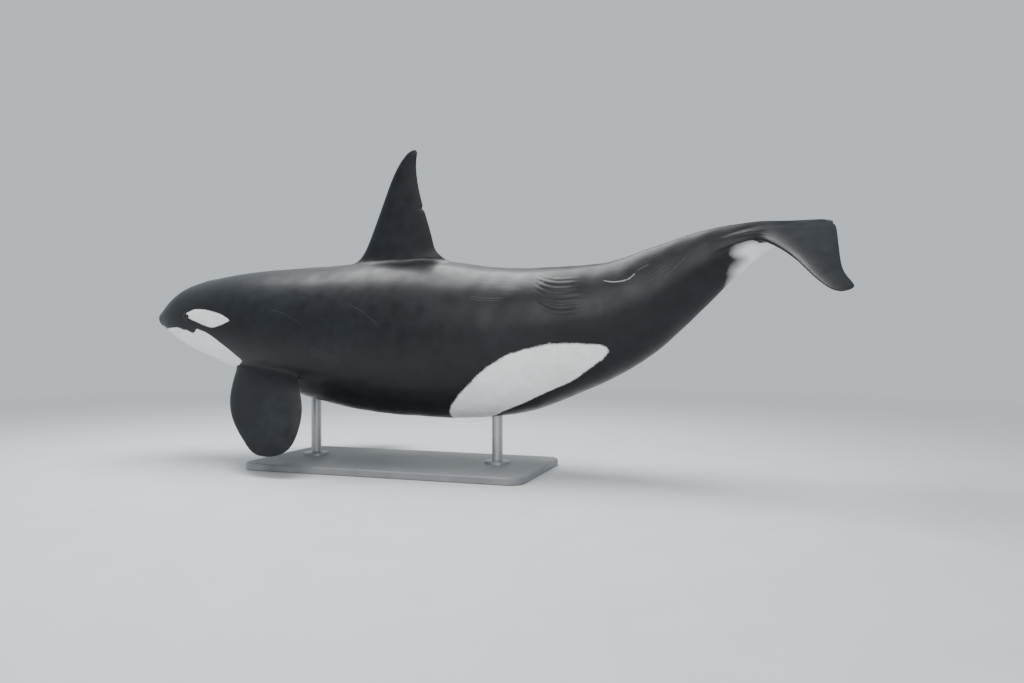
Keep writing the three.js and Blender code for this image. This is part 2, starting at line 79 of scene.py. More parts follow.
# %% Smooth curves through a few sizes
def smooth_curve(places, sizes):
    """A natural cubic spline, as a function of the place."""
    x, y = np.array(places, float), np.array(sizes, float)
    gap, count = np.diff(x), len(x)
    rows, turn = np.eye(count), np.zeros(count)
    for i in range(1, count - 1):
        rows[i, i - 1:i + 2] = gap[i - 1], 2 * (gap[i - 1] + gap[i]), gap[i]
        turn[i] = 6 * ((y[i + 1] - y[i]) / gap[i] - (y[i] - y[i - 1]) / gap[i - 1])
    bend = np.linalg.solve(rows, turn)

    def size_at(place):
        p = np.clip(place, x[0], x[-1])
        i = np.clip(np.searchsorted(x, p, side="right") - 1, 0, count - 2)
        left = (x[i + 1] - p) / gap[i]
        right = 1 - left
        curve = (left**3 - left) * bend[i] + (right**3 - right) * bend[i + 1]
        return left * y[i] + right * y[i + 1] + curve * gap[i] ** 2 / 6
    return size_at


def ramp(value, start, end):
    """0 before the start and 1 past the end, with a soft rise between."""
    share = np.clip((value - start) / (end - start), 0, 1)
    return share * share * (3 - 2 * share)


# %% [markdown]
# The spine dips under the fin and rises to the flukes. The girth is given above, below and beside
# it, and the tail gets sharp keels at its sides. These are the proportions of the species, fitted
# to the outline of this animal.

# %% The spine and the girth, in metres behind the snout
SPINE_AT = [0, 0.55, 1.15, 2.05, 2.85, 3.5, 4.05, 4.5, 4.9, 5.3, 5.7, 6.02, 6.12]
SPINE_RISE = [0, 0.004, -0.056, -0.17, -0.211, -0.213, -0.116, 0.016, 0.231, 0.452, 0.596, 0.66, 0.679]
GIRTH_AT = [0, 0.03, 0.11, 0.21, 0.35, 0.65, 1.07, 1.93, 2.79, 3.65, 4.4, 5.05, 5.5, 5.83, 6.02]
GIRTH_UP = [0, 0.058, 0.116, 0.193, 0.274, 0.365, 0.465, 0.612, 0.68, 0.582, 0.437, 0.278, 0.142,
            0.042, 0.008]
GIRTH_DOWN = [0, 0.072, 0.12, 0.178, 0.265, 0.374, 0.468, 0.632, 0.679, 0.617, 0.464, 0.28, 0.143,
              0.042, 0.008]
GIRTH_SIDE = [0, 0.093, 0.157, 0.218, 0.282, 0.374, 0.464, 0.554, 0.566, 0.468, 0.31, 0.165, 0.106,
              0.06, 0.02]
TAIL_END = 6.028
SNOUT = (-2.59, 0, 1.32)
BANK = math.radians(11)
TWIST, TWIST_FROM_TO = math.radians(7), (3.85, 5.75)
ROUND, KEELED = 2.08, 1.62
KEEL_BEGINS, KEEL_ENDS = (3.85, 4.95), (5.45, 5.85)
SLOPE_STEP = 0.005

spine_rise = smooth_curve(SPINE_AT, SPINE_RISE)
girth_up, girth_down, girth_side = (
    smooth_curve(np.sqrt(GIRTH_AT), sizes) for sizes in (GIRTH_UP, GIRTH_DOWN, GIRTH_SIDE))


def depth(root, upper):
    return np.where(upper, girth_up(root), girth_down(root))


def squareness(at):
    """The power of a section's curve: 2 is an ellipse, and less draws out its sides to keels."""
    keel = ramp(at, *KEEL_BEGINS) * (1 - ramp(at, *KEEL_ENDS))
    return ROUND + (KEELED - ROUND) * keel


def spine_pitch(at):
    rise = spine_rise(at + SLOPE_STEP) - spine_rise(at - SLOPE_STEP)
    return np.arctan(rise / (2 * SLOPE_STEP))


def twist_at(at):
    return TWIST * ramp(at, *TWIST_FROM_TO)


deepest = np.sqrt(2.8)
print("deepest at 2.8 m:", round(float(girth_up(deepest) + girth_down(deepest)), 3), "m")

# %% [markdown]
# ## From the straight animal to the pose
# It is easier to think of the animal as straight: a place behind the snout, an angle round the
# body from the middle of the back, and a distance out. Three small functions carry such a point
# along the bent and twisted spine, and then into the room, where the whole animal banks.
# The reverse is needed too: for any point of the room, where on the straight animal is it?

# %% Carry points along the spine and back
def to_room(points):
    x, y, z = points[..., 0], points[..., 1], points[..., 2]
    cos, sin = math.cos(BANK), math.sin(BANK)
    return np.stack([x + SNOUT[0], y * cos - z * sin, y * sin + z * cos + SNOUT[2]], -1)


def along_spine(at, left, up):
    at, left, up = np.broadcast_arrays(at, left, up)
    twist, pitch = twist_at(at), spine_pitch(at)
    across = -left * np.cos(twist) - up * np.sin(twist)
    high = -left * np.sin(twist) + up * np.cos(twist)
    return np.stack([at - np.sin(pitch) * high, across, spine_rise(at) + np.cos(pitch) * high], -1)


def power(value, exponent):
    return np.sign(value) * np.abs(value) ** exponent


def unit(vector):
    return vector / np.linalg.norm(vector)


def wrapped(angle):
    return (angle + 180) % 360 - 180


def between(value, limits):
    return (value > limits[0]) & (value < limits[1])


def skin_point(at, angle, closing=1.0):
    turn = np.radians(angle)
    root = np.sqrt(np.maximum(at, 0))
    sharp = 2 / squareness(at)
    height = depth(root, np.cos(turn) >= 0)
    left = girth_side(root) * closing * power(np.sin(turn), sharp)
    return to_room(along_spine(at, left, height * closing * power(np.cos(turn), sharp)))


def straighten(points):
    """The place behind the snout, the angle from the back, and the height over the skin."""
    cos, sin = math.cos(BANK), math.sin(BANK)
    x, y, z = points[..., 0] - SNOUT[0], points[..., 1], points[..., 2] - SNOUT[2]
    y, z = y * cos + z * sin, -y * sin + z * cos
    at = np.array(x)
    for _ in range(20):
        pitch = spine_pitch(at)
        high = (z - spine_rise(at)) / np.cos(pitch)
        at = np.clip(x + np.sin(pitch) * high, 0.0005, TAIL_END)
    twist = twist_at(at)
    left = -y * np.cos(twist) - high * np.sin(twist)
    up = -y * np.sin(twist) + high * np.cos(twist)
    root, sharp = np.sqrt(at), squareness(at)
    side = np.abs(left) / np.maximum(girth_side(root), 1e-4)
    tall = np.abs(up) / np.maximum(depth(root, up >= 0), 1e-4)
    full = (side**sharp + tall**sharp) ** (1 / sharp)
    side, tall = side ** (sharp / 2), tall ** (sharp / 2)
    angle = np.degrees(np.arctan2(np.sign(left) * side, np.sign(up) * tall))
    return at, angle, np.hypot(left, up) * (1 - 1 / np.maximum(full, 1e-6))


try_at, try_angle = np.array([0.6, 2.5, 5.2]), np.array([80.0, 150, -70])
at, angle, height = straighten(skin_point(try_at, try_angle))
print("there and back:", at.round(3), angle.round(1), abs(height).max().round(5))

# %% [markdown]
# ## The net of the skin
# The body starts as a sphere with its poles at the snout and the tail. Its rings become sections
# of the body, close together at the head, where the eye rests, and wide along the plain flank.
# In a real head the mouth is what every other line follows, so the front pole sits where the lips
# meet, and one line of the net on each side runs along the mouth, with its neighbours close by.

# %% Rings along the body
SIDES = 80
HALF = SIDES // 2
STEP_AT = [0, 0.8, 1.1, 1.2, 3.85, 3.95, 4.4, 4.65, 5.8, 6.0, 6.028]
STEP = [0.0165, 0.0165, 0.03, 0.048, 0.048, 0.03, 0.03, 0.032, 0.032, 0.02, 0.02]
SAMPLES = 6021


def ring_places():
    """Places along the body, a step apart as measured on the skin, so rings crowd at the snout."""
    at = np.linspace(0, TAIL_END, SAMPLES)
    length = np.hypot(np.diff(at), np.diff(girth_side(np.sqrt(at))))
    steps = np.concatenate([[0], np.cumsum(length / np.interp(at[1:], STEP_AT, STEP))])
    return np.interp(np.linspace(0, steps[-1], round(steps[-1]) + 1), steps, at)


ring_at = ring_places()
RINGS = len(ring_at) - 1
print("rings", RINGS)

# %% [markdown]
# The mouth of this species rises a little towards its corner and then drops. The lines above and
# below crowd towards it, and behind the corner they spread until they are even again.

# %% Lines along the mouth
MOUTH_AT = [-0.06, 0, 0.12, 0.37, 0.57]
MOUTH_HEIGHT = [-0.05, -0.052, -0.052, -0.036, -0.068]
MOUTH_TIP, POLE_FADE = 0.01445, 0.38
GAPE, EVEN_AGAIN = 0.57, 0.88
MOUTH_LINE = 23
CROWD, CROWD_FADE = 1.6, (0.5, 0.95)
mouth_height = smooth_curve(MOUTH_AT, MOUTH_HEIGHT)


def off_centre(ring, turn):
    """The net's own ring and turn to a place and angle, with the pole where the lips meet."""
    rho = np.sqrt(ring)
    x = rho * np.sin(np.radians(turn))
    y = rho * np.cos(np.radians(turn)) - math.sqrt(MOUTH_TIP) * (1 - ramp(rho, 0, POLE_FADE))
    return x * x + y * y, np.degrees(np.arctan2(x, y))


def mouth_turn(ring):
    """The turn at which a ring crosses the mouth."""
    turn = np.linspace(40, 179, 1400)
    at, angle = off_centre(ring, turn)
    up = np.cos(np.radians(angle))
    height = spine_rise(at) + depth(np.sqrt(at), up >= 0) * power(up, 2 / squareness(at))
    return float(np.interp(0, mouth_height(at) - height, turn))


def line_turns(ring):
    plain = 180 * MOUTH_LINE / HALF
    after = ramp(ring, GAPE, EVEN_AGAIN)
    middle = mouth_turn(min(ring, GAPE)) * (1 - after) + plain * after
    crowd = CROWD + (1 - CROWD) * ramp(ring, *CROWD_FADE)
    over = middle * (1 - (1 - np.arange(MOUTH_LINE + 1) / MOUTH_LINE) ** crowd)
    lower = HALF - MOUTH_LINE
    under = middle + (180 - middle) * (np.arange(1, lower + 1) / lower) ** crowd
    half = np.concatenate([over, under])
    return np.concatenate([half, 360 - half[-2:0:-1]])


net_at, net_angle = np.zeros((2, RINGS + 1, SIDES))
for ring in range(RINGS + 1):
    turns = line_turns(max(ring_at[ring], 1e-6))
    net_at[ring], net_angle[ring] = off_centre(ring_at[ring], turns)
net_angle %= 360
corner_ring = np.argmin(abs(ring_at - GAPE))
print("mouth line at its corner:", round(float(net_angle[corner_ring, MOUTH_LINE]), 1), "degrees")

# %% [markdown]
# ## The blades
# Fins, flippers and flukes are thin wings with a round front edge and a sharp rear one. Each has
# a few rows of sizes from its root to its tip: its front and rear edge, and its thickness. A point
# of such a blade is given by the reach along it, the share of the way from front to rear, and the
# distance from its middle plane.

# %% Rows of sizes for the blades, in metres
FIN_ROWS = {
    "reach": [0.33, 0.44, 0.5, 0.62, 0.78, 1, 1.18, 1.31, 1.372, 1.392],
    "front": [2.07, 2.146, 2.212, 2.302, 2.388, 2.5, 2.595, 2.688, 2.756, 2.812],
    "rear": [3.06, 3.06, 2.978, 2.916, 2.884, 2.834, 2.814, 2.822, 2.836, 2.818],
    "thick": [0.25, 0.215, 0.172, 0.128, 0.106, 0.084, 0.064, 0.048, 0.034, 0.008],
}
FLIPPER_ROWS = {
    "reach": [0, 0.2, 0.4, 0.6, 0.783, 0.926, 1.023, 1.066],
    "front": [0.33, 0.373, 0.398, 0.372, 0.288, 0.19, 0.106, -0.045],
    "rear": [-0.26, -0.304, -0.353, -0.379, -0.355, -0.306, -0.224, -0.053],
    "thick": [0.15, 0.128, 0.104, 0.084, 0.066, 0.05, 0.034, 0.008],
}
FLUKE_ROWS = {
    "reach": [0, 0.07, 0.14, 0.22, 0.32, 0.5, 0.68, 0.81, 0.895, 0.938],
    "front": [5.14, 5.276, 5.395, 5.494, 5.58, 5.72, 5.811, 5.881, 5.943, 6.025],
    "front_out": [0.118, 0.118, 0.109, 0.104, 0.17, 0.373, 0.565, 0.702, 0.788, 0.816],
    "rear": [6.02, 6.046, 6.059, 6.057, 6.049, 6.033, 6.027, 6.052, 6.065, 6.031],
    "rear_out": [0, 0.034, 0.084, 0.15, 0.246, 0.436, 0.614, 0.726, 0.785, 0.816],
    "thick": [0.12, 0.12, 0.115, 0.108, 0.098, 0.076, 0.054, 0.038, 0.024, 0.006],
}


def curves_of(rows):
    """Each size against the root of the distance from the tip, which makes the tip round."""
    tip = rows["reach"][-1]
    places = [-math.sqrt(tip - reach) for reach in rows["reach"]]
    found = {name: smooth_curve(places, sizes) for name, sizes in rows.items() if name != "reach"}

    def sizes_at(reach):
        place = -np.sqrt(np.maximum(tip - reach, 0))
        return {name: curve(place) for name, curve in found.items()}
    return sizes_at


fin_sizes, flipper_sizes, fluke_sizes = map(curves_of, (FIN_ROWS, FLIPPER_ROWS, FLUKE_ROWS))
print("fin chord at half height:", round(float(fin_sizes(0.9)["rear"] - fin_sizes(0.9)["front"]), 3), "m")

# %% Where a point of each blade is
FLIPPER_ROOT = (1.37, 0.3, -0.33)
FLIPPER_DROOP, FLIPPER_SWEEP, FLIPPER_PITCH = map(math.radians, (40, 21, 6))
FLUKE_DROOP = math.tan(math.radians(20))
FLUKE_SPAN, FLUKE_CURL = 0.816, 0.024
FLUKE_RISE, FLUKE_RISE_AT = 0.1, (5.3, 5.95)
NICK_REACH, NICK_DEPTH, NICK_HALF = 0.905, 0.018, 0.013


def fin_point(side, share, off, reach):
    sizes = fin_sizes(reach)
    nick = NICK_DEPTH * np.exp(-((reach - NICK_REACH) / NICK_HALF) ** 2)
    at = sizes["front"] + share * (sizes["rear"] - sizes["front"]) - nick * np.clip(share, 0, 1) ** 12
    return to_room(np.stack([at, -off, reach + 0 * at], -1))


def turned(vector, axis, angle):
    cos, sin = math.cos(angle), math.sin(angle)
    return vector * cos + np.cross(axis, vector) * sin + axis * (axis @ vector) * (1 - cos)


def flipper_point(side, share, off, reach):
    sizes = flipper_sizes(reach)
    level, down = math.cos(FLIPPER_DROOP), math.sin(FLIPPER_DROOP)
    out = math.cos(FLIPPER_SWEEP)
    span = np.array([math.sin(FLIPPER_SWEEP), -side * level * out, -down * out])
    forward = turned(np.array([-1.0, 0, 0]), span, side * FLIPPER_PITCH)
    normal = unit(np.cross(span, forward))
    edge = sizes["front"] + share * (sizes["rear"] - sizes["front"])
    root = np.array([FLIPPER_ROOT[0], -side * FLIPPER_ROOT[1], FLIPPER_ROOT[2]])
    return to_room(root + reach[..., None] * span + edge[..., None] * forward + off[..., None] * normal)


def fluke_point(side, share, off, reach):
    sizes = fluke_sizes(reach)
    at = sizes["front"] + share * (sizes["rear"] - sizes["front"])
    out = sizes["front_out"] + share * (sizes["rear_out"] - sizes["front_out"])
    drop = FLUKE_DROOP * out + FLUKE_CURL * (out / FLUKE_SPAN) ** 3
    rise = FLUKE_RISE * (1 - ramp(at, *FLUKE_RISE_AT))
    return to_room(along_spine(at, side * out, off + rise - drop))


# %% The section of a blade
NOSE_SHARE = 0.004
EDGE_SHARE = 0.02
EDGE_POWER = 0.86
FULLNESS = 2.05
EVEN = 0.35


def fullness(share):
    return FULLNESS * np.sqrt(share) * (1 - share) ** EDGE_POWER


def section(u, v, sizes, grow):
    """u runs from the front edge to the rear one, v from face to face. Both are 2-D grids."""
    spread = EVEN * u + (1 - EVEN) / 2 * (1 - np.cos(np.pi * u))
    share = NOSE_SHARE + (1 - NOSE_SHARE - EDGE_SHARE) * spread
    chord = np.abs(sizes["rear"] - sizes["front"])
    half = sizes["thick"] / 2
    off = v * half * fullness(share)
    step = 1e-4
    slope = half * (fullness(share + step) - fullness(share - step)) / (2 * step)
    slope = slope / np.maximum(chord, 0.01)
    facing = np.arctan2(1, -slope)
    nose, edge = u <= 0, u >= 1
    facing = np.where(edge, facing * np.abs(v), facing)
    facing = np.where(nose, np.pi - (np.pi - facing) * np.abs(v), facing)
    share = np.where(nose, NOSE_SHARE * v * v, share)
    share = np.where(edge, 1 - EDGE_SHARE * np.abs(v) ** (1 / EDGE_POWER), share)
    share = share + grow * np.cos(facing) / np.maximum(chord, 0.01)
    return share, off + grow * np.sin(facing) * np.sign(v)

# %% [markdown]
# ## Openings in the net
# What grows out of the body, or opens into it, takes a block of the net's faces. The net is first
# drawn so that the edge of each block lies where the blade meets the body, with room for a soft
# fillet. The lines between are then eased, each towards the mean of its neighbours, so the faces
# stay even, as they would if the net were made of rubber bands.

# %% Where a blade leaves the body
def crossing(blade, goal, grow):
    """The reach at which each line along the blade is at the height goal over the skin."""
    low = np.full(blade["u"].shape, float(blade["from"]))
    high = np.full(blade["u"].shape, float(blade["to"]))
    for _ in range(30):
        middle = (low + high) / 2
        share, off = section(blade["u"], blade["v"], blade["sizes"](middle), grow)
        _, _, height = straighten(blade["point"](blade["side"], share, off, middle))
        low = np.where(height < goal, middle, low)
        high = np.where(height < goal, high, middle)
    return low


def blade_points(blade, reach, grow=0.0):
    share, off = section(blade["u"], blade["v"], blade["sizes"](reach), grow)
    return blade["point"](blade["side"], share, off, reach)


FLIPPER = {"point": flipper_point, "sizes": flipper_sizes, "from": 0, "to": 0.7, "across": 4,
           "fillet": 0.03, "least": 0, "tip": FLIPPER_ROWS["reach"][-1]}
FLUKE = {"point": fluke_point, "sizes": fluke_sizes, "from": 0, "to": 0.6, "across": 16,
         "fillet": 0.02, "least": 0.05, "tip": FLUKE_ROWS["reach"][-1]}
BLADES = {
    "dorsal_fin": {"side": 1, "point": fin_point, "sizes": fin_sizes, "from": 0.33, "to": 1.0,
                   "angle": 0, "across": 4, "fillet": 0.035, "least": 0.33, "tip": 1.392,
                   "levels": [0.66, 0.73, 0.79, 0.84, 0.87, 0.886, 0.896, 0.905, 0.914, 0.924, 0.94,
                              0.98, 1.04, 1.1, 1.16, 1.21, 1.255, 1.295, 1.33, 1.364]},
    "flipper_left": {"side": 1, "angle": 130, **FLIPPER},
    "flipper_right": {"side": -1, "angle": 230, **FLIPPER},
    "fluke_left": {"side": 1, "angle": 90, **FLUKE},
    "fluke_right": {"side": -1, "angle": 270, **FLUKE},
}
TOP_STRIP = 20
NOTCH_SPREAD = 30
LAST_PATCH_RING = 6.018


def rim(u, v):
    return (u <= 0) | (u >= 1) | (np.abs(v) >= 1)


blocks = {}
for name, blade in BLADES.items():
    grid = np.linspace(0, 1, 25), np.linspace(-1, 1, blade["across"] + 1)
    blade["u"], blade["v"] = np.meshgrid(*grid, indexing="ij")
    start = crossing(blade, 0, blade["fillet"])
    at, angle, _ = straighten(blade_points(blade, start, blade["fillet"]))
    first, last = float(at.min()), min(float(at.max()), LAST_PATCH_RING)
    rings = np.argmin(abs(ring_at - first)), np.argmin(abs(ring_at - last))
    middle = round(blade["angle"] / 360 * SIDES)
    half = blade["across"] // 2
    blocks[name] = {"rings": rings, "lines": (middle - half, middle + half)}
    print(name, "from", round(first, 3), "to", round(last, 3), "rings", rings)

# %% [markdown]
# The eyes and the blowhole open in small discs. Each disc lies on a flat frame that touches the
# skin there, so that its shape can be drawn in metres and then laid on the skin.

# %% Where the eyes and the blowhole open
EYE_AT, EYE_ANGLE = 0.586, 80
EYE_CELLS, EYE_HALF = (6, 4), (0.064, 0.046)
BLOWHOLE_AT = 0.605
BLOWHOLE_CELLS, BLOWHOLE_HALF = (4, 6), (0.056, 0.094)


def patch_frame(at, angle):
    """A small upright frame on the skin: its centre, forward to the tail, up, and out."""
    centre = skin_point(np.array(at), np.array(float(angle)))
    along = unit(skin_point(np.array(at + 0.005), np.array(float(angle))) - centre)
    around = unit(skin_point(np.array(at), np.array(angle - 1.0)) - centre)
    out = unit(np.cross(along, around))
    out *= np.sign(out @ (centre - to_room(along_spine(np.array(at), 0.0, 0.0))))
    up = np.cross(out, along) * np.sign(np.cross(out, along) @ around)
    return {"centre": centre, "along": along, "up": up, "out": out, "side": 1 if angle <= 180 else -1}


def on_patch(frame, x, y, lift):
    """x is towards the tail and y towards the back, both along the skin, and lift is out of it."""
    flat = frame["centre"] + x[..., None] * frame["along"] + y[..., None] * frame["up"]
    at, angle, _ = straighten(flat)
    return skin_point(at, angle) + lift[..., None] * frame["out"], at, angle


def to_disc(u, v):
    """A square grid from -1 to 1 drawn in to a disc."""
    return u * np.sqrt(1 - v * v / 2), v * np.sqrt(1 - u * u / 2)


def disc_at(at, angle, cells, half):
    return {"frame": patch_frame(at, angle), "at": at, "angle": angle, "cells": cells, "half": half}


OPENINGS = {
    "eye_left": disc_at(EYE_AT, EYE_ANGLE, EYE_CELLS, EYE_HALF),
    "eye_right": disc_at(EYE_AT, 360 - EYE_ANGLE, EYE_CELLS, EYE_HALF),
    "blowhole": disc_at(BLOWHOLE_AT, 0, BLOWHOLE_CELLS, BLOWHOLE_HALF),
}
for name, opening in OPENINGS.items():
    along, across = opening["cells"]
    ring = int(np.argmin(abs(ring_at - opening["at"])))
    line = int(np.argmin(abs(wrapped(net_angle[ring] - opening["angle"]))))
    blocks[name] = {"rings": (ring - along // 2, ring + along // 2),
                    "lines": (line - across // 2, line + across // 2)}
    print(name, blocks[name])

# %% [markdown]
# The points on the rim of each block are moved to their place and held there, and so are the two
# poles and the line of the mouth. All other points near a block follow. Between the flukes the
# lines are spread evenly over the back and under the belly.

# %% Draw the net to the openings and ease it
MOUTH_HELD = 0.6
NOTCH_FROM = 0.84
EASE_RINGS, EASE_ROUNDS = 9, 1500
fixed = np.zeros(net_at.shape, bool)
shift_at, shift_angle = np.zeros((2,) + net_at.shape)
fixed[0] = fixed[-1] = True
for line in (MOUTH_LINE, SIDES - MOUTH_LINE):
    fixed[ring_at < MOUTH_HELD, line] = True


def draw_rim(block, edge, at, angle):
    """Note how far each point of a block's edge has to move, and hold it."""
    first, last = block["rings"]
    rows = np.arange(first, last + 1)[:, None] + 0 * at.astype(int)
    lines = (np.arange(block["lines"][0], block["lines"][1] + 1) % SIDES)[None, :] + 0 * rows
    turn = wrapped(angle - net_angle[rows, lines])
    fixed[rows[edge], lines[edge]] = True
    shift_at[rows[edge], lines[edge]] = (at - net_at[rows, lines])[edge]
    shift_angle[rows[edge], lines[edge]] = turn[edge]
    block["rows"], block["columns"] = rows, lines


for name, blade in BLADES.items():
    block = blocks[name]
    count = block["rings"][1] - block["rings"][0]
    grid = np.linspace(0, 1, count + 1), np.linspace(-1, 1, blade["across"] + 1)
    u, v = np.meshgrid(*grid, indexing="ij")
    for _ in range(2):
        blade["u"], blade["v"] = u, v
        start = crossing(blade, 0, blade["fillet"])
        at, angle, _ = straighten(blade_points(blade, start, blade["fillet"]))
        angle = wrapped(angle - blade["angle"])
        if angle[count // 2, -1] > angle[count // 2, 0]:
            break
        v = -v
    if name.startswith("fluke"):
        limit = 90 - TOP_STRIP - (90 - TOP_STRIP - NOTCH_SPREAD) * ramp(u, NOTCH_FROM, 1)
        spread = np.linspace(-limit[:, 0], limit[:, 0], u.shape[1], axis=1)
        angle = np.clip(np.where(u >= 1, spread, angle), -limit, limit)
        at = np.where(u >= 1, LAST_PATCH_RING, np.minimum(at, LAST_PATCH_RING))
    draw_rim(block, rim(u, v), at, angle + blade["angle"])

first, last = blocks["fluke_left"]["rings"]
edge_line = blocks["fluke_left"]["lines"][0]
for middle in (0, HALF):
    for step in range(-edge_line + 1, edge_line):
        line = (middle + step) % SIDES
        rim_line = (middle + (edge_line if step > 0 else -edge_line)) % SIDES
        for field in (shift_at, shift_angle):
            field[first:last + 1, line] = field[first:last + 1, rim_line] * abs(step) / edge_line
        fixed[first:last + 1, line] = True

for name, opening in OPENINGS.items():
    along, across = opening["cells"]
    u, v = np.meshgrid(np.linspace(-1, 1, along + 1), np.linspace(-1, 1, across + 1), indexing="ij")
    flat = opening["frame"]
    opening["x"], disc_y = to_disc(u, v)
    up = -flat["side"]
    if name == "blowhole":
        flat["up"] = np.cross(flat["out"], flat["along"])
        left = skin_point(np.array(BLOWHOLE_AT), np.array(5.0)) - flat["centre"]
        up = np.sign(left @ flat["up"])
    opening["y"] = disc_y * up
    half_x, half_y = opening["half"]
    _, at, angle = on_patch(flat, opening["x"] * half_x, opening["y"] * half_y, 0 * u)
    draw_rim(blocks[name], (np.abs(u) >= 1) | (np.abs(v) >= 1), at, angle)

near = np.zeros(RINGS + 1, bool)
for block in blocks.values():
    first, last = block["rings"]
    near[max(first - EASE_RINGS, 1):last + EASE_RINGS + 1] = True
free = ~fixed & near[:, None]
for _ in range(EASE_ROUNDS):
    for field in (shift_at, shift_angle):
        ahead, behind = np.roll(field, 1, 0), np.roll(field, -1, 0)
        mean = (ahead + behind + np.roll(field, 1, 1) + np.roll(field, -1, 1)) / 4
        field[free] = mean[free]
net_at += shift_at
net_angle = (net_angle + shift_angle) % 360
print("largest draw:", round(float(abs(shift_at).max()), 3), "m,",
      round(float(abs(shift_angle).max()), 1), "degrees")

# %% [markdown]
# Now the sphere is added, and each of its points goes to its own place in the net. The ring and
# the line of a point are kept as attributes, so that its block is still found after faces have
# grown.

# %% The sphere becomes the body
CLOSE_FROM = 6.012
bpy.ops.object.select_all(action="DESELECT")
bpy.ops.mesh.primitive_uv_sphere_add(segments=SIDES, ring_count=RINGS, radius=1, location=(0, 0, 0))
skin = bpy.context.object
skin.name = "orca_skin"


def read(items, name, width):
    flat = np.zeros(len(items) * width, np.float32)
    items.foreach_get(name, flat)
    return flat.reshape(-1, width).astype(float)


def points_of(mesh):
    return read(mesh.vertices, "co", 3)


def place_points(mesh, points):
    mesh.vertices.foreach_set("co", points.astype(np.float32).ravel())
    mesh.update()


def store(mesh, name, values, kind="FLOAT"):
    layer = mesh.attributes.get(name) or mesh.attributes.new(name, kind, "POINT")
    layer.data.foreach_set("value", np.asarray(values, np.float32 if kind == "FLOAT" else np.int32))


ball = points_of(skin.data)
ring_of = np.rint(np.arccos(np.clip(ball[:, 2], -1, 1)) / np.pi * RINGS).astype(int)
line_of = np.rint(np.arctan2(ball[:, 1], ball[:, 0]) / (2 * np.pi) * SIDES).astype(int) % SIDES
beyond = np.clip((net_at - CLOSE_FROM) / (TAIL_END - CLOSE_FROM), 0, 1)
net_points = skin_point(net_at, net_angle, np.sqrt(1 - beyond**2))
place_points(skin.data, net_points[ring_of, line_of])
store(skin.data, "ring", ring_of, "INT")
store(skin.data, "line", line_of, "INT")
for extra in ("reach", "share", "face_side", "fluke"):
    store(skin.data, extra, np.zeros(len(ball)))
print("body", len(skin.data.polygons), "faces")

# %% [markdown]
# ## The mouth
# The mouth is shut. What shows is a fine groove with a rounded lip on each side, the lower lip a
# little inside the upper one, and it ends in a soft corner under the eye.

# %% The groove of the mouth
LIP_STEP, LIP_FADE, LIP_TO = 0.011, 0.13, 0.33
GROOVE = 0.016
LIP_ROLL = [0.0035, 0.003, 0.0014]
SHUT_BY, SNOUT_SHARE, SNOUT_TO = (GAPE - 0.06, GAPE + 0.01), 0.35, 0.14
THIN = 0.05

lines = np.arange(SIDES)
from_mouth = np.minimum(lines, SIDES - lines) - MOUTH_LINE
size_part = (SNOUT_SHARE + (1 - SNOUT_SHARE) * ramp(ring_at, 0, SNOUT_TO))[:, None]
profile = np.where(from_mouth == 0, -GROOVE, 0)
for steps, roll in enumerate(LIP_ROLL, 1):
    profile = np.where(abs(from_mouth) == steps, roll, profile)
groove = profile[None, :] * (1 - ramp(ring_at, *SHUT_BY))[:, None] * size_part
axis = to_room(along_spine(net_at, 0.0, 0.0))
reach_out = np.linalg.norm(net_points - axis, axis=-1)
from_back = np.minimum(net_angle, 360 - net_angle)
below = np.radians(np.maximum(from_back - from_back[:, MOUTH_LINE, None], 0)) * reach_out
inset = LIP_STEP * (1 - ramp(ring_at, LIP_TO, GAPE))[:, None] * np.clip(1 - below / LIP_FADE, 0, 1)
inset = np.where(from_mouth[None, :] > 0, inset, 0) * size_part
steps_out = (groove - inset) * np.clip(reach_out / THIN, 0, 1)
steps_out[0] = -GROOVE * 0.1
outward = (net_points - axis) / np.maximum(reach_out, 1e-6)[..., None]
outward[0] = (-1, 0, 0)
net_points = net_points + steps_out[..., None] * outward
place_points(skin.data, net_points[ring_of, line_of])
print("mouth groove", round(float(-steps_out.min()) * 1000, 1), "mm deep")

# %% [markdown]
# ## Blades grown from the net
# Each block of faces is extruded again and again, as one pulls a fin out of clay, and each new
# rim is set on the section of the blade at that reach. The first rim is held between the body and
# the blade, so that the subdivision later makes a fillet there, and the last one is domed.

# %% Grow the blades
STATIONS, TIP_CROWD = 16, 1.35
TIP_SHARE = 0.02
ROOT_STATIONS = 4


def stations_of(blade, clear):
    """The reach of each rim, from where the blade is clear of the body to where its tip begins."""
    last = blade["tip"] * (1 - TIP_SHARE)
    if "levels" not in blade:
        shares = [1 - (1 - k / (STATIONS - 1)) ** TIP_CROWD for k in range(STATIONS)]
        return [clear + (last - clear) * share for share in shares]
    levels = blade["levels"]
    foot = [clear + (levels[0] - clear) * k / ROOT_STATIONS for k in range(ROOT_STATIONS)]
    return foot + [np.full(clear.shape, level) for level in levels]


def block_faces(bm, block):
    ring, line = bm.verts.layers.int["ring"], bm.verts.layers.int["line"]
    first, last = block["rings"]
    start, width = block["lines"][0], block["lines"][1] - block["lines"][0]
    return [face for face in bm.faces if all(
        first <= v[ring] <= last and (v[line] - start) % SIDES <= width for v in face.verts)]


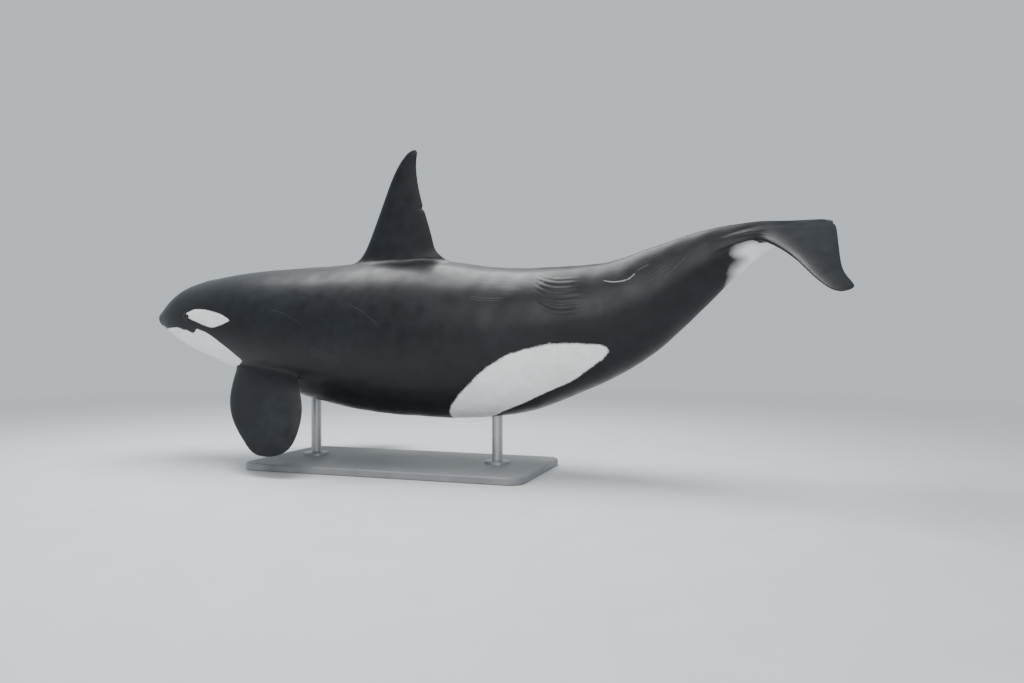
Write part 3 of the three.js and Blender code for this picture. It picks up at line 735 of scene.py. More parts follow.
def pull_out(block, points, notes):
    """One extrusion of what is selected, and its new place."""
    bpy.ops.mesh.extrude_region_move(TRANSFORM_OT_translate={"value": (0, 0, 0)})
    bm = bmesh.from_edit_mesh(skin.data)
    ring, line = bm.verts.layers.int["ring"], bm.verts.layers.int["line"]
    layers = {name: bm.verts.layers.float[name] for name in notes}
    for v in bm.verts:
        if v.select:
            i, j = v[ring] - block["rings"][0], (v[line] - block["lines"][0]) % SIDES
            v.co = points[i, j]
            for name, values in notes.items():
                v[layers[name]] = values[i, j]
    bmesh.update_edit_mesh(skin.data)


def end_of_growth():
    bpy.ops.mesh.select_all(action="SELECT")
    bpy.ops.mesh.normals_make_consistent(inside=False)
    bpy.ops.object.mode_set(mode="OBJECT")
    print("skin", len(skin.data.polygons), "faces")


def select_block(block):
    """Select only the faces of a block, in edit mode."""
    bpy.ops.mesh.select_all(action="DESELECT")
    bm = bmesh.from_edit_mesh(skin.data)
    for face in block_faces(bm, block):
        face.select_set(True)
    bm.select_flush_mode()
    bmesh.update_edit_mesh(skin.data)


def tip_points(blade, last):
    """The last rim, with the faces inside it raised to the outline of the tip."""
    u, v, tip = blade["u"], blade["v"], blade["tip"]
    share, off = section(u, v, blade["sizes"](np.full(u.shape, last)), 0.0)
    ends = blade["sizes"](np.array([last, tip]))
    front, rear = ends["front"][0], ends["rear"][0]
    middle = ((ends["front"][1] + ends["rear"][1]) / 2 - front) / (rear - front)
    spread = (share - middle) / np.where(share < middle, -middle, 1 - middle)
    dome = np.sqrt(np.clip(1 - v * v, 0, 1)) * np.clip(1 - spread**2, 0, 1)
    reach = last + (tip - last) * np.where(rim(u, v), 0, dome)
    there = blade["sizes"](reach)
    moved = (front + share * (rear - front) - there["front"]) / (there["rear"] - there["front"])
    return blade["point"](blade["side"], moved, off, reach)


bpy.ops.object.mode_set(mode="EDIT")
bpy.ops.mesh.select_mode(type="FACE")
for name, blade in BLADES.items():
    block = blocks[name]
    select_block(block)
    leave = np.maximum(crossing(blade, 0, 0.0), blade["least"])
    clear = np.maximum(crossing(blade, blade["fillet"], 0.0), blade["least"])
    foot = net_points[block["rows"], block["columns"]]
    first = blade_points(blade, clear)
    notes = {"share": blade["u"], "face_side": blade["v"], "reach": 0 * blade["u"],
             "fluke": np.full(blade["u"].shape, float(name.startswith("fluke")))}
    pull_out(block, (foot + 2 * blade_points(blade, leave) + first) / 4, notes)
    reaches = stations_of(blade, clear)
    for reach in reaches[:-1]:
        notes["reach"] = reach
        pull_out(block, blade_points(blade, reach), notes)
    notes["reach"] = reaches[-1]
    pull_out(block, tip_points(blade, reaches[-1].max()), notes)
    print(name, "leaves the body at", leave[rim(blade["u"], blade["v"])].round(2).min(), "to",
          leave[rim(blade["u"], blade["v"])].round(2).max())
end_of_growth()

# %% [markdown]
# ## Lids and the blowhole
# An eye isn't set on the skin but in it: the lids swell up round it and their rims lie on the
# ball. The blowhole is a crescent slit with its horns to the front, shut by its own lips. Both are
# made from a block of faces too, pulled in ring by ring.

# %% Open the eyes and the blowhole
EYE_RADIUS = 0.03
EYE_DEPTH = 0.023
LID_RINGS = [(0.05, 0.036, 0.003), (0.037, 0.025, 0.0062)]
RIM_RINGS = [(0.0275, 0.0165, 0.0036), (0.0225, 0.0128, 0.0014), (0.0205, 0.0112, -0.005)]
LID_POINTED, LID_LEAST, BEHIND_LIDS = 1.25, -0.0015, -0.008


def eye_height(x, y):
    return np.sqrt(np.maximum(EYE_RADIUS**2 - x * x - y * y, 0)) - EYE_DEPTH


def lid_points(opening):
    p, q = opening["x"], opening["y"]
    for half_x, half_y, lift in LID_RINGS:
        yield on_patch(opening["frame"], p * half_x, q * half_y, 0 * p + lift)[0]
    for half_x, half_y, lift in RIM_RINGS:
        x, y = p * half_x, half_y * power(q, LID_POINTED)
        inside = np.hypot(p, q) < 0.99
        flat = opening["frame"]
        height = np.where(inside, BEHIND_LIDS, np.maximum(eye_height(x, y), LID_LEAST) + lift)
        yield (flat["centre"] + x[..., None] * flat["along"] + y[..., None] * flat["up"]
               + height[..., None] * flat["out"])


SLIT_HALF = 0.056
SLIT_BOW = 0.022
SLIT_RINGS = [(0.03, 0.022, 0.75, 0.003), (0.011, 0.011, 1, 0.004), (0.0035, 0.0035, 1, -0.001),
              (0.0028, 0.0028, 1, -0.02)]


def blowhole_points(opening):
    p, q = opening["x"], opening["y"]
    for half_width, end_width, bow_share, lift in SLIT_RINGS:
        y = q * (SLIT_HALF + end_width)
        x = 0.005 - bow_share * SLIT_BOW * np.minimum(abs(y) / SLIT_HALF, 1) ** 2 + p * half_width
        yield on_patch(opening["frame"], x, y, 0 * p + lift)[0]


bpy.ops.object.mode_set(mode="EDIT")
for name, opening in OPENINGS.items():
    select_block(blocks[name])
    shapes = blowhole_points(opening) if name == "blowhole" else lid_points(opening)
    for points in shapes:
        pull_out(blocks[name], points, {})
end_of_growth()

# %% [markdown]
# Two places come out harder than flesh is: the notch, where both flukes and the end of the tail
# meet, and the start of each fluke's front edge on the tail. A few rounds of smoothing melt them.

# %% Soften the notch between the flukes, and where their front edges begin
NOTCH_AT, NOTCH_SOFT = 6.02, 0.055
ROOT_SOFT, ROOT_ANGLE = [((5.02, 5.42), 4), ((5.06, 5.34), 8)], (48, 128)


def select_points(piece, chosen):
    """Go into edit mode with only the chosen points selected."""
    bpy.ops.object.mode_set(mode="EDIT")
    bpy.ops.mesh.select_mode(type="VERT")
    bpy.ops.mesh.select_all(action="DESELECT")
    bm = bmesh.from_edit_mesh(piece.data)
    for v in bm.verts:
        v.select_set(bool(chosen[v.index]))
    bm.select_flush_mode()
    bmesh.update_edit_mesh(piece.data)


def soften(chosen, repeat):
    select_points(skin, chosen)
    bpy.ops.mesh.vertices_smooth(factor=0.5, repeat=repeat)
    bpy.ops.object.mode_set(mode="OBJECT")
    print("softened", int(chosen.sum()), "points")


notch = to_room(along_spine(np.array(NOTCH_AT), 0.0, 0.0))
soften(np.linalg.norm(points_of(skin.data) - notch, axis=1) < NOTCH_SOFT, 6)
at, angle, _ = straighten(points_of(skin.data))
for limits, repeat in ROOT_SOFT:
    soften(between(at, limits) & between(abs(angle), ROOT_ANGLE), repeat)

# %% [markdown]
# One level of subdivision rounds every edge that is left and makes the fillets at the blades.

# %% Smooth it
def make_smooth(piece):
    rounder = piece.modifiers.new("rounder", "SUBSURF")
    rounder.levels = rounder.render_levels = 1
    bpy.ops.object.select_all(action="DESELECT")
    piece.select_set(True)
    bpy.context.view_layer.objects.active = piece
    bpy.ops.object.modifier_apply(modifier=rounder.name)
    bpy.ops.object.shade_smooth()


make_smooth(skin)
print("skin", len(skin.data.polygons) * 2, "triangles")

# %% [markdown]
# ## Folds, and the unevenness of flesh
# With the tail raised, the skin of the back is pressed together behind the fin, and a set of curved
# folds forms on each side. A bump in the material would vanish at the edge of a highlight, so the
# faces are divided once more there and the folds are real. A slit runs under the belly, on a low
# swelling, and the whole body gets a very slight unevenness, without which it looks like plastic.

# %% Finer faces where the skin folds
FOLD_AT = (3.88, 4.38)
FOLD_ANGLE = (24, 79)
SLIT_AT = (3.42, 3.86)
SLIT_ANGLE = 166

at, angle, _ = straighten(points_of(skin.data))
folded = between(at, FOLD_AT) & between(abs(angle), FOLD_ANGLE)
slit = between(at, SLIT_AT) & (abs(angle) > SLIT_ANGLE)
select_points(skin, folded | slit)
bpy.ops.mesh.subdivide(number_cuts=1)
bpy.ops.object.mode_set(mode="OBJECT")
print("skin", sum(len(face.vertices) - 2 for face in skin.data.polygons), "triangles")

# %% Lift the folds
FOLD_LINE, FOLD_PERIOD, FOLD_HEIGHT = 36.2, 6.7, 0.0046
FOLD_LEVEL, FOLD_CURL, FOLD_REACH, FOLD_BEND = 4.2, 12, 0.235, 2.6
FOLD_ROUND = 1.1
FOLD_BEGINS, FOLD_ENDS, FOLD_TOP, FOLD_LOW = (3.93, 4.02), (4.2, 4.34), (29, 38), (68, 74)
SWELL_AT, SWELL_HEIGHT, SWELL_LONG, SWELL_WIDE = 3.6, 0.012, 0.13, 0.11
CLEFT_BEGINS, CLEFT_ENDS, CLEFT_DEPTH, CLEFT_WIDE = (3.46, 3.5), (3.74, 3.8), 0.009, 0.011
UNEVEN, UNEVEN_FROM = 0.0011, (0.9, 1.6)
WAVES = [(1, 9.1, 0.07, 0), (1, 15.7, -0.052, 1.3), (0.7, 27.3, 0.11, 0.4)]


def values_of(mesh, name):
    return read(mesh.attributes[name].data, "value", 1)[:, 0]


def normals_of(mesh):
    return read(mesh.vertices, "normal", 3)


def girth_mean(at):
    root = np.sqrt(at)
    return (girth_up(root) + girth_down(root) + 2 * girth_side(root)) / 4


points = points_of(skin.data)
at, angle, _ = straighten(points)
body = 1 - ramp(values_of(skin.data, "reach"), 0.0, 0.05)
turn = abs(angle) + FOLD_CURL * (np.maximum(FOLD_LEVEL - at, 0) / FOLD_REACH) ** FOLD_BEND
fold = np.abs(np.sin(np.pi * (turn - FOLD_LINE) / FOLD_PERIOD)) ** FOLD_ROUND
fold *= ramp(at, *FOLD_BEGINS) * (1 - ramp(at, *FOLD_ENDS))
fold *= ramp(turn, *FOLD_TOP) * (1 - ramp(turn, *FOLD_LOW))
below = np.radians(180 - abs(angle)) * girth_mean(at)
swell = np.exp(-((at - SWELL_AT) / SWELL_LONG) ** 2 - (below / SWELL_WIDE) ** 2)
cleft = np.exp(-(below / CLEFT_WIDE) ** 2) * ramp(at, *CLEFT_BEGINS) * (1 - ramp(at, *CLEFT_ENDS))
waves = sum(height * np.sin(along * at + around * angle + start)
            for height, along, around, start in WAVES) * ramp(at, *UNEVEN_FROM)
lift = FOLD_HEIGHT * fold + SWELL_HEIGHT * swell - CLEFT_DEPTH * cleft + UNEVEN * waves
place_points(skin.data, points + (lift * body)[:, None] * normals_of(skin.data))
print("folds lift the skin by up to", round(float(lift.max()) * 1000, 1), "mm")

# %% [markdown]
# ## Where the skin is white
# The markings are drawn once, as outlines on the straight animal, by place and by angle from the
# back, the same for both sides. At each point of the skin the distance to the nearest edge is
# stored, more than 0 in the white. A distance changes smoothly from face to face, so the material
# can turn it into an edge as sharp or as soft as the real one, however large the faces are.

# %% Outlines of the markings
EYE_PATCH = [(0.575, 76.5), (0.62, 72.5), (0.655, 70.5), (0.705, 69.5), (0.81, 69.8), (0.87, 70.8),
             (0.995, 73.5), (1.06, 76), (1.115, 78.8), (1.065, 82.3), (1.01, 85.5), (0.91, 89.5),
             (0.795, 88.5), (0.73, 86.5), (0.625, 83)]
THROAT = [(0.19, 215), (0.165, 165), (0.165, 138), (0.18, 122), (0.22, 114.3), (0.32, 104),
          (0.395, 99.8), (0.465, 97), (0.51, 97), (0.55, 99.6), (0.59, 101), (0.63, 102.2),
          (0.66, 101.2), (0.685, 98.3), (0.7, 95.7), (0.725, 95), (0.75, 95.5), (0.815, 96.7),
          (0.875, 99), (0.935, 101.8), (0.99, 105.3), (1.045, 108.5), (1.09, 111.5), (1.155, 116.3),
          (1.205, 121), (1.16, 128), (1.12, 137), (1.16, 148), (1.45, 159), (1.7, 165), (2.1, 169),
          (2.6, 170.5), (3, 168), (3.4, 170), (3.6, 173), (3.78, 176), (3.85, 190), (3.8, 215),
          (3, 215), (2.2, 215), (1.6, 215), (1.1, 215), (0.8, 215), (0.5, 215), (0.3, 215)]
FLANK = [(3.1, 168), (3.09, 155), (3.13, 137), (3.225, 124), (3.335, 113), (3.435, 105), (3.57, 98),
         (3.685, 95), (3.86, 94), (4.045, 96), (4.305, 108), (4.36, 118.5), (4.31, 124.5), (4.155, 131),
         (4.02, 135), (3.82, 137.5), (3.655, 142.5), (3.5, 150), (3.4, 160), (3.3, 170), (3.2, 172)]
STOCK = [(5.16, 215), (5.2, 176), (5.27, 152), (5.31, 139), (5.36, 133), (5.4, 124), (5.385, 113),
         (5.37, 100), (5.42, 87), (5.5, 84), (5.62, 84), (5.75, 90), (5.9, 93), (6.02, 93), (6.02, 215),
         (5.9, 215), (5.7, 215), (5.5, 215), (5.3, 215)]
SADDLE = [(2.95, 3), (3.05, -12), (3.5, -12), (3.88, 6), (3.98, 24), (3.9, 38), (3.7, 39), (3.45, 30),
          (3.25, 22), (3.1, 14)]


def unroll(at, angle):
    return np.radians(angle) * girth_mean(at)


def rounded(outline, steps=6):
    """A smooth closed curve through the points of an outline, unrolled to metres."""
    at, angle = np.array(outline, float).T
    here = np.stack([at, unroll(at, angle)], -1)
    share = np.linspace(0, 1, steps, endpoint=False)[None, :, None]
    a, b, c, d = (np.roll(here, step, 0)[:, None] for step in (1, 0, -1, -2))
    curve = 2 * b + (c - a) * share + (2 * a - 5 * b + 4 * c - d) * share**2
    curve += (3 * b - a - 3 * c + d) * share**3
    return curve.reshape(-1, 2) / 2


def inside_by(x, y, curve):
    """How far each point is inside a closed curve, and less than 0 outside it."""
    nearest = np.full(x.shape, np.inf)
    inside = np.zeros(x.shape, bool)
    for (ax, ay), (bx, by) in zip(curve, np.roll(curve, -1, 0)):
        dx, dy = bx - ax, by - ay
        share = np.clip(((x - ax) * dx + (y - ay) * dy) / (dx * dx + dy * dy + 1e-12), 0, 1)
        nearest = np.minimum(nearest, (x - ax - share * dx) ** 2 + (y - ay - share * dy) ** 2)
        if ay != by:
            inside ^= ((ay > y) != (by > y)) & (x < ax + (y - ay) * dx / dy)
    return np.sqrt(nearest) * np.where(inside, 1, -1)


# %% [markdown]
# Some edges follow the form instead of an outline. The eye patch stops at the dark lids, and the
# white of the throat at the line of the mouth. The flukes are white below, with a dark rim, and
# all that faces up at the tail is black. Each edge also has its own softness: crisp at the head,
# ragged on the flank and blurred on the tail.

# %% Store the distance to the edge of the white
EYE_RIM = 0.021
MOUTH_CORNER = 0.62
LIP_DARK, THROAT_FREE = 0.002, 0.12
MOUTH_SHUTS = 0.02
STOCK_TOP, STOCK_DROP, STOCK_DROP_AT, STOCK_SLOPE = 80, 15, (5.55, 5.7), 0.006
FLUKE_FRONT, FLUKE_ROOT, FLUKE_ROOT_TO = 0.15, 0.34, 0.32
FLUKE_REAR, FLUKE_TIP, FLUKE_BLEND, FLUKE_CLIP = 0.8, 0.8, 0.12, 0.93
BLACK_BY, BLADE_BLACK, SADDLE_BLACK = (0.005, 0.06), -0.06, 0.2
UP_FROM, UP_LIMIT, UP_SLOPE = 5.6, 0.15, 0.1
SOFT, SOFT_FLANK, SOFT_TAIL = 0.0035, 0.003, 0.045
RAGGED, RAGGED_FLANK, RAGGED_TAIL = 0.07, 0.38, 0.05
SOFT_FROM_TO, RAGGED_FROM_TO, TAIL_FROM_TO = (1, 3), (1.3, 3), (5, 5.3)

points = points_of(skin.data)
at, angle, _ = straighten(points)
arc = unroll(at, abs(angle))
reach, share, face_side, on_fluke = (
    values_of(skin.data, name) for name in ("reach", "share", "face_side", "fluke"))
patch, throat, flank, stock, saddle = (
    inside_by(at, arc, rounded(outline)) for outline in (EYE_PATCH, THROAT, FLANK, STOCK, SADDLE))
mouth_angle = np.interp(at, net_at[:, MOUTH_LINE], net_angle[:, MOUTH_LINE])
below_mouth = np.radians(abs(angle) - mouth_angle) * girth_mean(at)
under_lip = below_mouth - LIP_DARK + THROAT_FREE * ramp(at, GAPE - 0.04, MOUTH_CORNER)
throat = np.where(at < MOUTH_CORNER, np.minimum(throat, under_lip), throat)
mouth = abs(below_mouth) + MOUTH_SHUTS * ramp(at, *SHUT_BY)
for name in ("eye_left", "eye_right"):
    from_eye = np.linalg.norm(points - OPENINGS[name]["frame"]["centre"], axis=1)
    patch = np.minimum(patch, from_eye - EYE_RIM)
stock_top = STOCK_TOP + STOCK_DROP * ramp(at, *STOCK_DROP_AT)
stock = np.minimum(stock, (abs(angle) - stock_top) * STOCK_SLOPE)
rows = fluke_sizes(np.clip(reach, 0, FLUKE_CLIP))
chord = np.hypot(rows["rear"] - rows["front"], rows["rear_out"] - rows["front_out"])
margin = FLUKE_FRONT + FLUKE_ROOT * (1 - ramp(reach, 0, FLUKE_ROOT_TO))
fluke_white = np.minimum(np.minimum(share - margin, FLUKE_REAR - share) * chord, FLUKE_TIP - reach)
fluke_white = np.where(face_side < -0.5, fluke_white, -0.1)
white = np.maximum(np.maximum(patch, throat), np.maximum(flank, stock))
on_blade = ramp(reach, *BLACK_BY)
white = np.where(on_fluke > 0.25, white + (fluke_white - white) * ramp(reach, 0, FLUKE_BLEND),
                 white + (BLADE_BLACK - white) * on_blade)
upward = to_room(along_spine(at, 0.0, 1.0)) - to_room(along_spine(at, 0.0, 0.0))
facing_down = -(normals_of(skin.data) * upward).sum(axis=1)
black_above = UP_SLOPE * (facing_down - UP_LIMIT)
white = np.where(at > UP_FROM, np.minimum(white, black_above), white)
soft = SOFT + SOFT_FLANK * ramp(at, *SOFT_FROM_TO) + SOFT_TAIL * ramp(at, *TAIL_FROM_TO)
ragged = RAGGED + RAGGED_FLANK * ramp(at, *RAGGED_FROM_TO) - RAGGED_TAIL * ramp(at, *TAIL_FROM_TO)
side = np.where(angle >= 0, 1.0, -1.0)
for name, values in {"white": white, "soft": soft, "ragged": ragged, "mouth": mouth, "along": at,
                     "around": arc * side, "saddle": saddle - SADDLE_BLACK * on_blade}.items():
    store(skin.data, name, values)
print("white part of the skin:", round(float((white > 0).mean()), 3))

# %% [markdown]
# ## The finish of the skin
# Living orca skin is black and white, smooth as rubber and wet. The black is never one black: it
# drifts between blue and brown, has a grey saddle behind the fin, and carries pale scratches and
# scars. The nodes mix these from noise in the object's own coordinates and from the stored
# distances. A picture would also do, but a picture has seams, and noise has none.

# %% Small helpers for nodes
def feed(node, inputs):
    """Each input takes a number, a colour or the output of another node."""
    for name, value in inputs.items():
        if isinstance(value, bpy.types.NodeSocket):
            tree.links.new(value, node.inputs[name])
        else:
            node.inputs[name].default_value = value


def add_node(kind, inputs, **settings):
    """A new node in the tree of the material that was started last."""
    node = tree.nodes.new(kind)
    for name, value in settings.items():
        setattr(node, name, value)
    feed(node, inputs)
    return node


def maths(operation, *values, clamp=False):
    inputs = dict(enumerate(values))
    return add_node("ShaderNodeMath", inputs, operation=operation, use_clamp=clamp).outputs[0]


def blend(factor, first, second):
    return add_node("ShaderNodeMix", {0: factor, 6: first, 7: second}, data_type="RGBA").outputs[2]


def noise(scale, detail=3.0, vector=None):
    return add_node("ShaderNodeTexNoise", {
        "Vector": place if vector is None else vector, "Scale": scale, "Detail": detail}).outputs["Fac"]


def drawn_out(*scale):
    return add_node("ShaderNodeMapping", {"Vector": place, "Scale": scale}).outputs["Vector"]


def stretch(value, start, end, low=0.0, high=1.0):
    return add_node("ShaderNodeMapRange", {
        "Value": value, "From Min": start, "From Max": end, "To Min": low, "To Max": high}).outputs["Result"]


def stored(name):
    return add_node("ShaderNodeAttribute", {}, attribute_name=name).outputs["Fac"]


def bumps(height, strength, distance):
    return add_node("ShaderNodeBump", {
        "Height": height, "Strength": strength, "Distance": distance}).outputs["Normal"]


def start_material(name):
    material = bpy.data.materials.new(name)
    material.use_nodes = True
    nodes = material.node_tree.nodes
    place = nodes.new("ShaderNodeTexCoord").outputs["Object"]
    return material, material.node_tree, nodes["Principled BSDF"], place


# %% [markdown]
# Scars are thin lines on the skin and don't change its form. Each is a bent line in the unrolled
# skin, by place, angle, width and strength. Only the left side has them.

# %% Scars, as curves on the left side
SCARS = [
    ([(4.51, 42.3), (4.54, 45), (4.575, 47.7), (4.62, 49.8), (4.66, 51), (4.69, 51.5)], 0.0055, 0.9),
    ([(4.68, 51.6), (4.71, 50.4), (4.725, 49.1), (4.75, 46.8)], 0.0045, 0.75),
    ([(4.765, 44.6), (4.815, 43), (4.86, 42.2)], 0.0026, 0.25),
    ([(3.97, 39.8), (4.0, 37.6), (4.035, 35.3)], 0.0022, 0.5),
    ([(4.095, 34.3), (4.13, 31.2), (4.165, 27.8)], 0.0022, 0.5),
    ([(3.365, 47.3), (3.56, 49.3), (3.7, 49)], 0.003, 0.12),
    ([(3.36, 49.6), (3.55, 51.4), (3.68, 51.2)], 0.003, 0.09),
    ([(2.3, 58), (2.5, 66), (2.66, 78)], 0.0024, 0.1),
    ([(1.5, 64), (1.68, 67), (1.9, 76)], 0.0024, 0.08),
    ([(4.9, 70), (5.0, 64), (5.09, 56)], 0.0024, 0.1),
]
RAKES = [(4.86, 58, -0.5, 0.2), (2.1, 96, 0.3, 0.3)]
RAKE_GAP, RAKE_WIDTH, RAKE_STRENGTH = 0.022, 0.0022, 0.08


def scar_mask(line, width, strength):
    """How much of a scar there is: 1 on a bent line, 0 beside it and past its ends."""
    at, angle = np.array(line, float).T
    middle = float(at.mean())
    bend, slope, level = (float(value) for value in np.polyfit(at - middle, unroll(at, angle), 2))
    x = maths("SUBTRACT", along, middle)
    y = maths("MULTIPLY_ADD", maths("MULTIPLY_ADD", x, bend, slope), x, level)
    off = maths("ABSOLUTE", maths("SUBTRACT", around, y))
    past = maths("ABSOLUTE", maths("SUBTRACT", x, float((at.min() + at.max()) / 2 - middle)))
    half = float(at.max() - at.min()) / 2
    steep = width * math.hypot(1, slope)
    near_line = stretch(off, steep, 0.3 * steep)
    return maths("MULTIPLY", near_line, stretch(past, half, 0.75 * half, 0, strength))


def rake_lines():
    """Sets of three faint parallel scratches, as other animals' teeth leave them."""
    for at, angle, slope, length in RAKES:
        for step in (-1, 0, 1):
            degrees = math.degrees(RAKE_GAP / float(girth_mean(at)))
            line = [(at + s * length, angle + step * degrees + s * length * slope * 60)
                    for s in (-0.5, 0, 0.5)]
            yield line, RAKE_WIDTH, RAKE_STRENGTH


# %% The black and white skin
BLACK = (0.0028, 0.0036, 0.005, 1), (0.0095, 0.0115, 0.0145, 1)
FLECK = (0.03, 0.034, 0.038, 1)
GREY = (0.062, 0.068, 0.076, 1)
WHITE = (0.74, 0.745, 0.73, 1), (0.87, 0.875, 0.865, 1)
SCAR = (0.38, 0.39, 0.39, 1)
MOUTH_DARK = (0.003, 0.0032, 0.0036, 1)

skin_finish, tree, surface, place = start_material("wet_black_and_white_skin")
broad, middling, fine = noise(1.7, 2), noise(11, 4), noise(95, 3)
along, around = stored("along"), stored("around")
cloud = maths("MULTIPLY_ADD", middling, 0.5, maths("MULTIPLY", broad, 0.5))
black = blend(stretch(cloud, 0.36, 0.66), *BLACK)
black = blend(stretch(noise(260, 2), 0.66, 0.8, 0, 0.2), black, FLECK)
streaks = noise(1.6, 4, drawn_out(3.0, 26.0, 14.0))
saddle_edge = maths("MULTIPLY_ADD", maths("SUBTRACT", streaks, 0.5), 0.3, stored("saddle"))
black = blend(stretch(saddle_edge, -0.06, 0.15, 0, 0.55), black, GREY)

scars = 0.0
for line, width, strength in SCARS + list(rake_lines()):
    scars = maths("MAXIMUM", scars, scar_mask(line, width, strength))
scars = maths("MULTIPLY", scars, stretch(fine, 0.3, 0.55, 0.55, 1))
black = blend(scars, black, SCAR)

jitter = maths("MULTIPLY_ADD", maths("SUBTRACT", middling, 0.5), 0.045,
               maths("MULTIPLY", maths("SUBTRACT", fine, 0.5), 0.06))
edge = maths("MULTIPLY_ADD", jitter, stored("ragged"), stored("white"))
whiteness = maths("MULTIPLY_ADD", maths("DIVIDE", edge, stored("soft")), 0.5, 0.5, clamp=True)
colour = blend(whiteness, black, blend(stretch(cloud, 0.35, 0.6), *WHITE))
colour = blend(stretch(stored("mouth"), 0.008, 0.003), colour, MOUTH_DARK)
rough = maths("ADD", middling, maths("MULTIPLY", fine, 0.4))
rough = maths("MULTIPLY_ADD", scars, 0.2, stretch(rough, 0.5, 0.9, 0.36, 0.5))
grain = maths("MULTIPLY_ADD", noise(320, 2), 0.35, middling)
grain = maths("MULTIPLY_ADD", scars, -0.5, grain)
feed(surface, {"Base Color": colour, "Roughness": rough, "Normal": bumps(grain, 0.3, 0.003),
               "Specular IOR Level": 0.3, "Coat Weight": 0.12, "Coat Roughness": 0.2,
               "Coat IOR": 1.34})
skin.data.materials.clear()
skin.data.materials.append(skin_finish)
print("skin finish", len(tree.nodes), "nodes")

# %% [markdown]
# The skin now stands for every solid of flesh, so these are no longer shown. It rides the one body
# that the model has.

# %% Take the place of the solids
FLESH = ["head", "lower_jaw", "neck", "chest", "torso_middle", "torso_rear", "tail_stock", "dorsal_fin",
         "flipper_left", "flipper_right", "fluke_left", "fluke_right"]
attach(skin, "root")
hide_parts(*FLESH)

# %% [markdown]
# ## The eyes
# An orca's eye is small for the head, dark brown, and lies low in front of the white patch. A ball
# alone looks like a bead, so its front is drawn out a little into the clear bulge that catches the
# light, and the iris and the pupil are painted by their distance from the middle of the gaze.

# %% Two eyes
BULGE = [(0.82, 0.0004), (0.88, 0.0005), (0.93, 0.0005)]
GAZE_FORWARD, GAZE_DOWN = 0.22, 0.12
PUPIL = (0.25, 0.16)


def eye_ball(name, flat):
    """A ball in the frame of its opening, with the middle of its iris at its pole."""
    centre = flat["centre"] - EYE_DEPTH * flat["out"]
    gaze = unit(flat["out"] - GAZE_FORWARD * flat["along"] - GAZE_DOWN * flat["up"])
    bpy.ops.object.select_all(action="DESELECT")
    turn = Vector(gaze).to_track_quat("Z", "Y").to_euler()
    bpy.ops.mesh.primitive_uv_sphere_add(segments=40, ring_count=28, radius=EYE_RADIUS - 0.0001,
                                         location=centre, rotation=turn)
    ball = bpy.context.object
    ball.name = name
    bpy.ops.object.transform_apply(location=True, rotation=True, scale=True)
    for limit, push in BULGE:
        facing = (points_of(ball.data) - centre) @ gaze / EYE_RADIUS
        select_points(ball, facing > limit)
        bpy.ops.transform.translate(value=tuple(gaze * push))
        bpy.ops.object.mode_set(mode="OBJECT")
    make_smooth(ball)
    away = (points_of(ball.data) - centre) / EYE_RADIUS
    across = unit(np.cross(flat["up"], gaze))
    store(ball.data, "iris_x", away @ across)
    store(ball.data, "iris_y", away @ np.cross(gaze, across))
    return ball


def distance(x, y):
    return maths("SQRT", maths("ADD", maths("POWER", x, 2.0), maths("POWER", y, 2.0)))


eye_finish, tree, surface, place = start_material("wet_brown_eye")
iris_x, iris_y = stored("iris_x"), stored("iris_y")
from_middle = distance(iris_x, iris_y)
pupil = distance(maths("DIVIDE", iris_x, PUPIL[0]), maths("DIVIDE", iris_y, PUPIL[1]))
spokes = noise(420, 3)
iris = blend(spokes, (0.006, 0.003, 0.002, 1), (0.034, 0.016, 0.008, 1))
rim_of_iris = blend(stretch(from_middle, 0.42, 0.56), iris, (0.003, 0.0025, 0.0025, 1))
colour = blend(stretch(pupil, 1.1, 0.9), rim_of_iris, (0.002, 0.002, 0.003, 1))
flesh = blend(spokes, (0.012, 0.006, 0.005, 1), (0.05, 0.028, 0.022, 1))
feed(surface, {"Base Color": blend(stretch(from_middle, 0.6, 0.72), colour, flesh),
               "Roughness": stretch(noise(60), 0.3, 0.7, 0.05, 0.12), "Specular IOR Level": 0.55})
for name in ("eye_left", "eye_right"):
    ball = eye_ball("ball_of_" + name, OPENINGS[name]["frame"])
    ball.data.materials.append(eye_finish)
    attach(ball, "root")
    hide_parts(name)
    print(ball.name, len(ball.data.polygons), "faces")

# %% [markdown]
# ## The stand
# The stand isn't part of the animal, so it stays plain: a heavy base in satin grey paint and two
# brushed steel rods. Its solids already have the right shape and rounded edges, so they stay and
# only get finishes: paint has a faint orange peel and some dust, and brushed steel has fine lines
# along the rod, made from noise that is stretched in one direction.

# %% Paint and steel
paint, tree, surface, place = start_material("satin_grey_paint")
dust = noise(5, 5)
feed(surface, {
    "Base Color": blend(stretch(dust, 0.35, 0.7), (0.17, 0.176, 0.185, 1), (0.24, 0.246, 0.252, 1)),
    "Roughness": stretch(dust, 0.3, 0.7, 0.38, 0.56), "Normal": bumps(noise(240, 2), 0.2, 0.0006)})

steel, tree, surface, place = start_material("brushed_steel")
brushing = noise(1.0, 3, drawn_out(420.0, 420.0, 5.0))
feed(surface, {
    "Base Color": blend(brushing, (0.34, 0.35, 0.36, 1), (0.52, 0.53, 0.54, 1)), "Metallic": 1.0,
    "Roughness": stretch(brushing, 0.3, 0.7, 0.36, 0.52), "Normal": bumps(brushing, 0.15, 0.0004)})

for name, finish in {"stand_base": paint, "stand_rod_front": steel, "stand_rod_rear": steel}.items():
    solid = bpy.data.objects[name]
    if not solid.material_slots:
        solid.data.materials.append(finish)
    for slot in solid.material_slots:
        slot.link = "OBJECT"
        slot.material = finish
    print(name, finish.name)

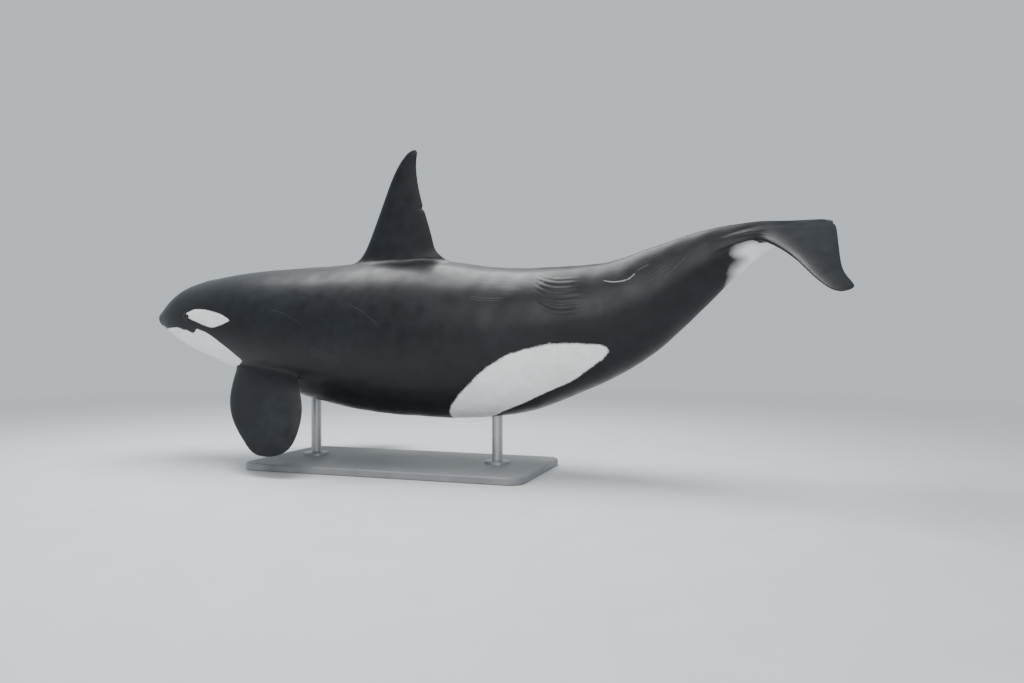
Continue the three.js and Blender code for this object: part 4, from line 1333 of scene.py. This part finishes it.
# %% [markdown]
# ## The room
# The animal swims in open water, but the model is shown in a studio: a plain pale floor that fades
# into an equally pale room, a large soft light above the back, as daylight falls from the surface,
# and a weaker one beside the camera. The lights are far larger than the animal is wide, so their
# edges don't show in the wet skin.

# %% Floor
ROOM = (0.72, 0.78, 0.83, 1)
ROOM_LIGHT = 0.85
FLOOR_SIZE, FLOOR_FADE = 240, (3.5, 13)
bpy.ops.object.select_all(action="DESELECT")
bpy.ops.mesh.primitive_plane_add(size=FLOOR_SIZE)
floor = bpy.context.object
floor.name = "floor"
pale_floor, tree, surface, place = start_material("pale_floor")
speckle = noise(3, 4)
feed(surface, {"Base Color": blend(speckle, (0.6, 0.615, 0.63, 1), (0.66, 0.672, 0.685, 1)),
               "Roughness": stretch(speckle, 0.3, 0.7, 0.55, 0.7)})
far = add_node("ShaderNodeEmission", {"Color": ROOM, "Strength": ROOM_LIGHT}).outputs[0]
from_centre = add_node("ShaderNodeVectorMath", {0: place}, operation="LENGTH").outputs["Value"]
fade = stretch(from_centre, *FLOOR_FADE)
mixed = add_node("ShaderNodeMixShader", {0: fade, 1: surface.outputs[0], 2: far}).outputs[0]
feed(tree.nodes["Material Output"], {"Surface": mixed})
floor.data.materials.append(pale_floor)

# %% Lights
LIGHTS = {
    "soft_light_above": {"at": (-1.2, 0.6, 6.8), "aim": (-0.2, 0, 1.3), "size": 5, "power": 800},
    "soft_light_by_the_camera": {"at": (3.5, -9.5, 5.5), "aim": (0.2, 0, 1.3), "size": 7, "power": 650},
}
for name, light in LIGHTS.items():
    turn = (Vector(light["aim"]) - Vector(light["at"])).to_track_quat("-Z", "Y").to_euler()
    bpy.ops.object.light_add(type="AREA", location=light["at"], rotation=turn)
    lamp = bpy.context.object
    lamp.name = name
    lamp.data.shape = "SQUARE"
    lamp.data.size = light["size"]
    lamp.data.energy = light["power"]
    lamp.visible_camera = False
world = bpy.data.worlds.new("studio")
world.use_nodes = True
feed(world.node_tree.nodes["Background"], {"Color": ROOM, "Strength": ROOM_LIGHT})
bpy.context.scene.world = world
print("lights", list(LIGHTS))

# %% Bring the scene up to date
bpy.context.view_layer.update()
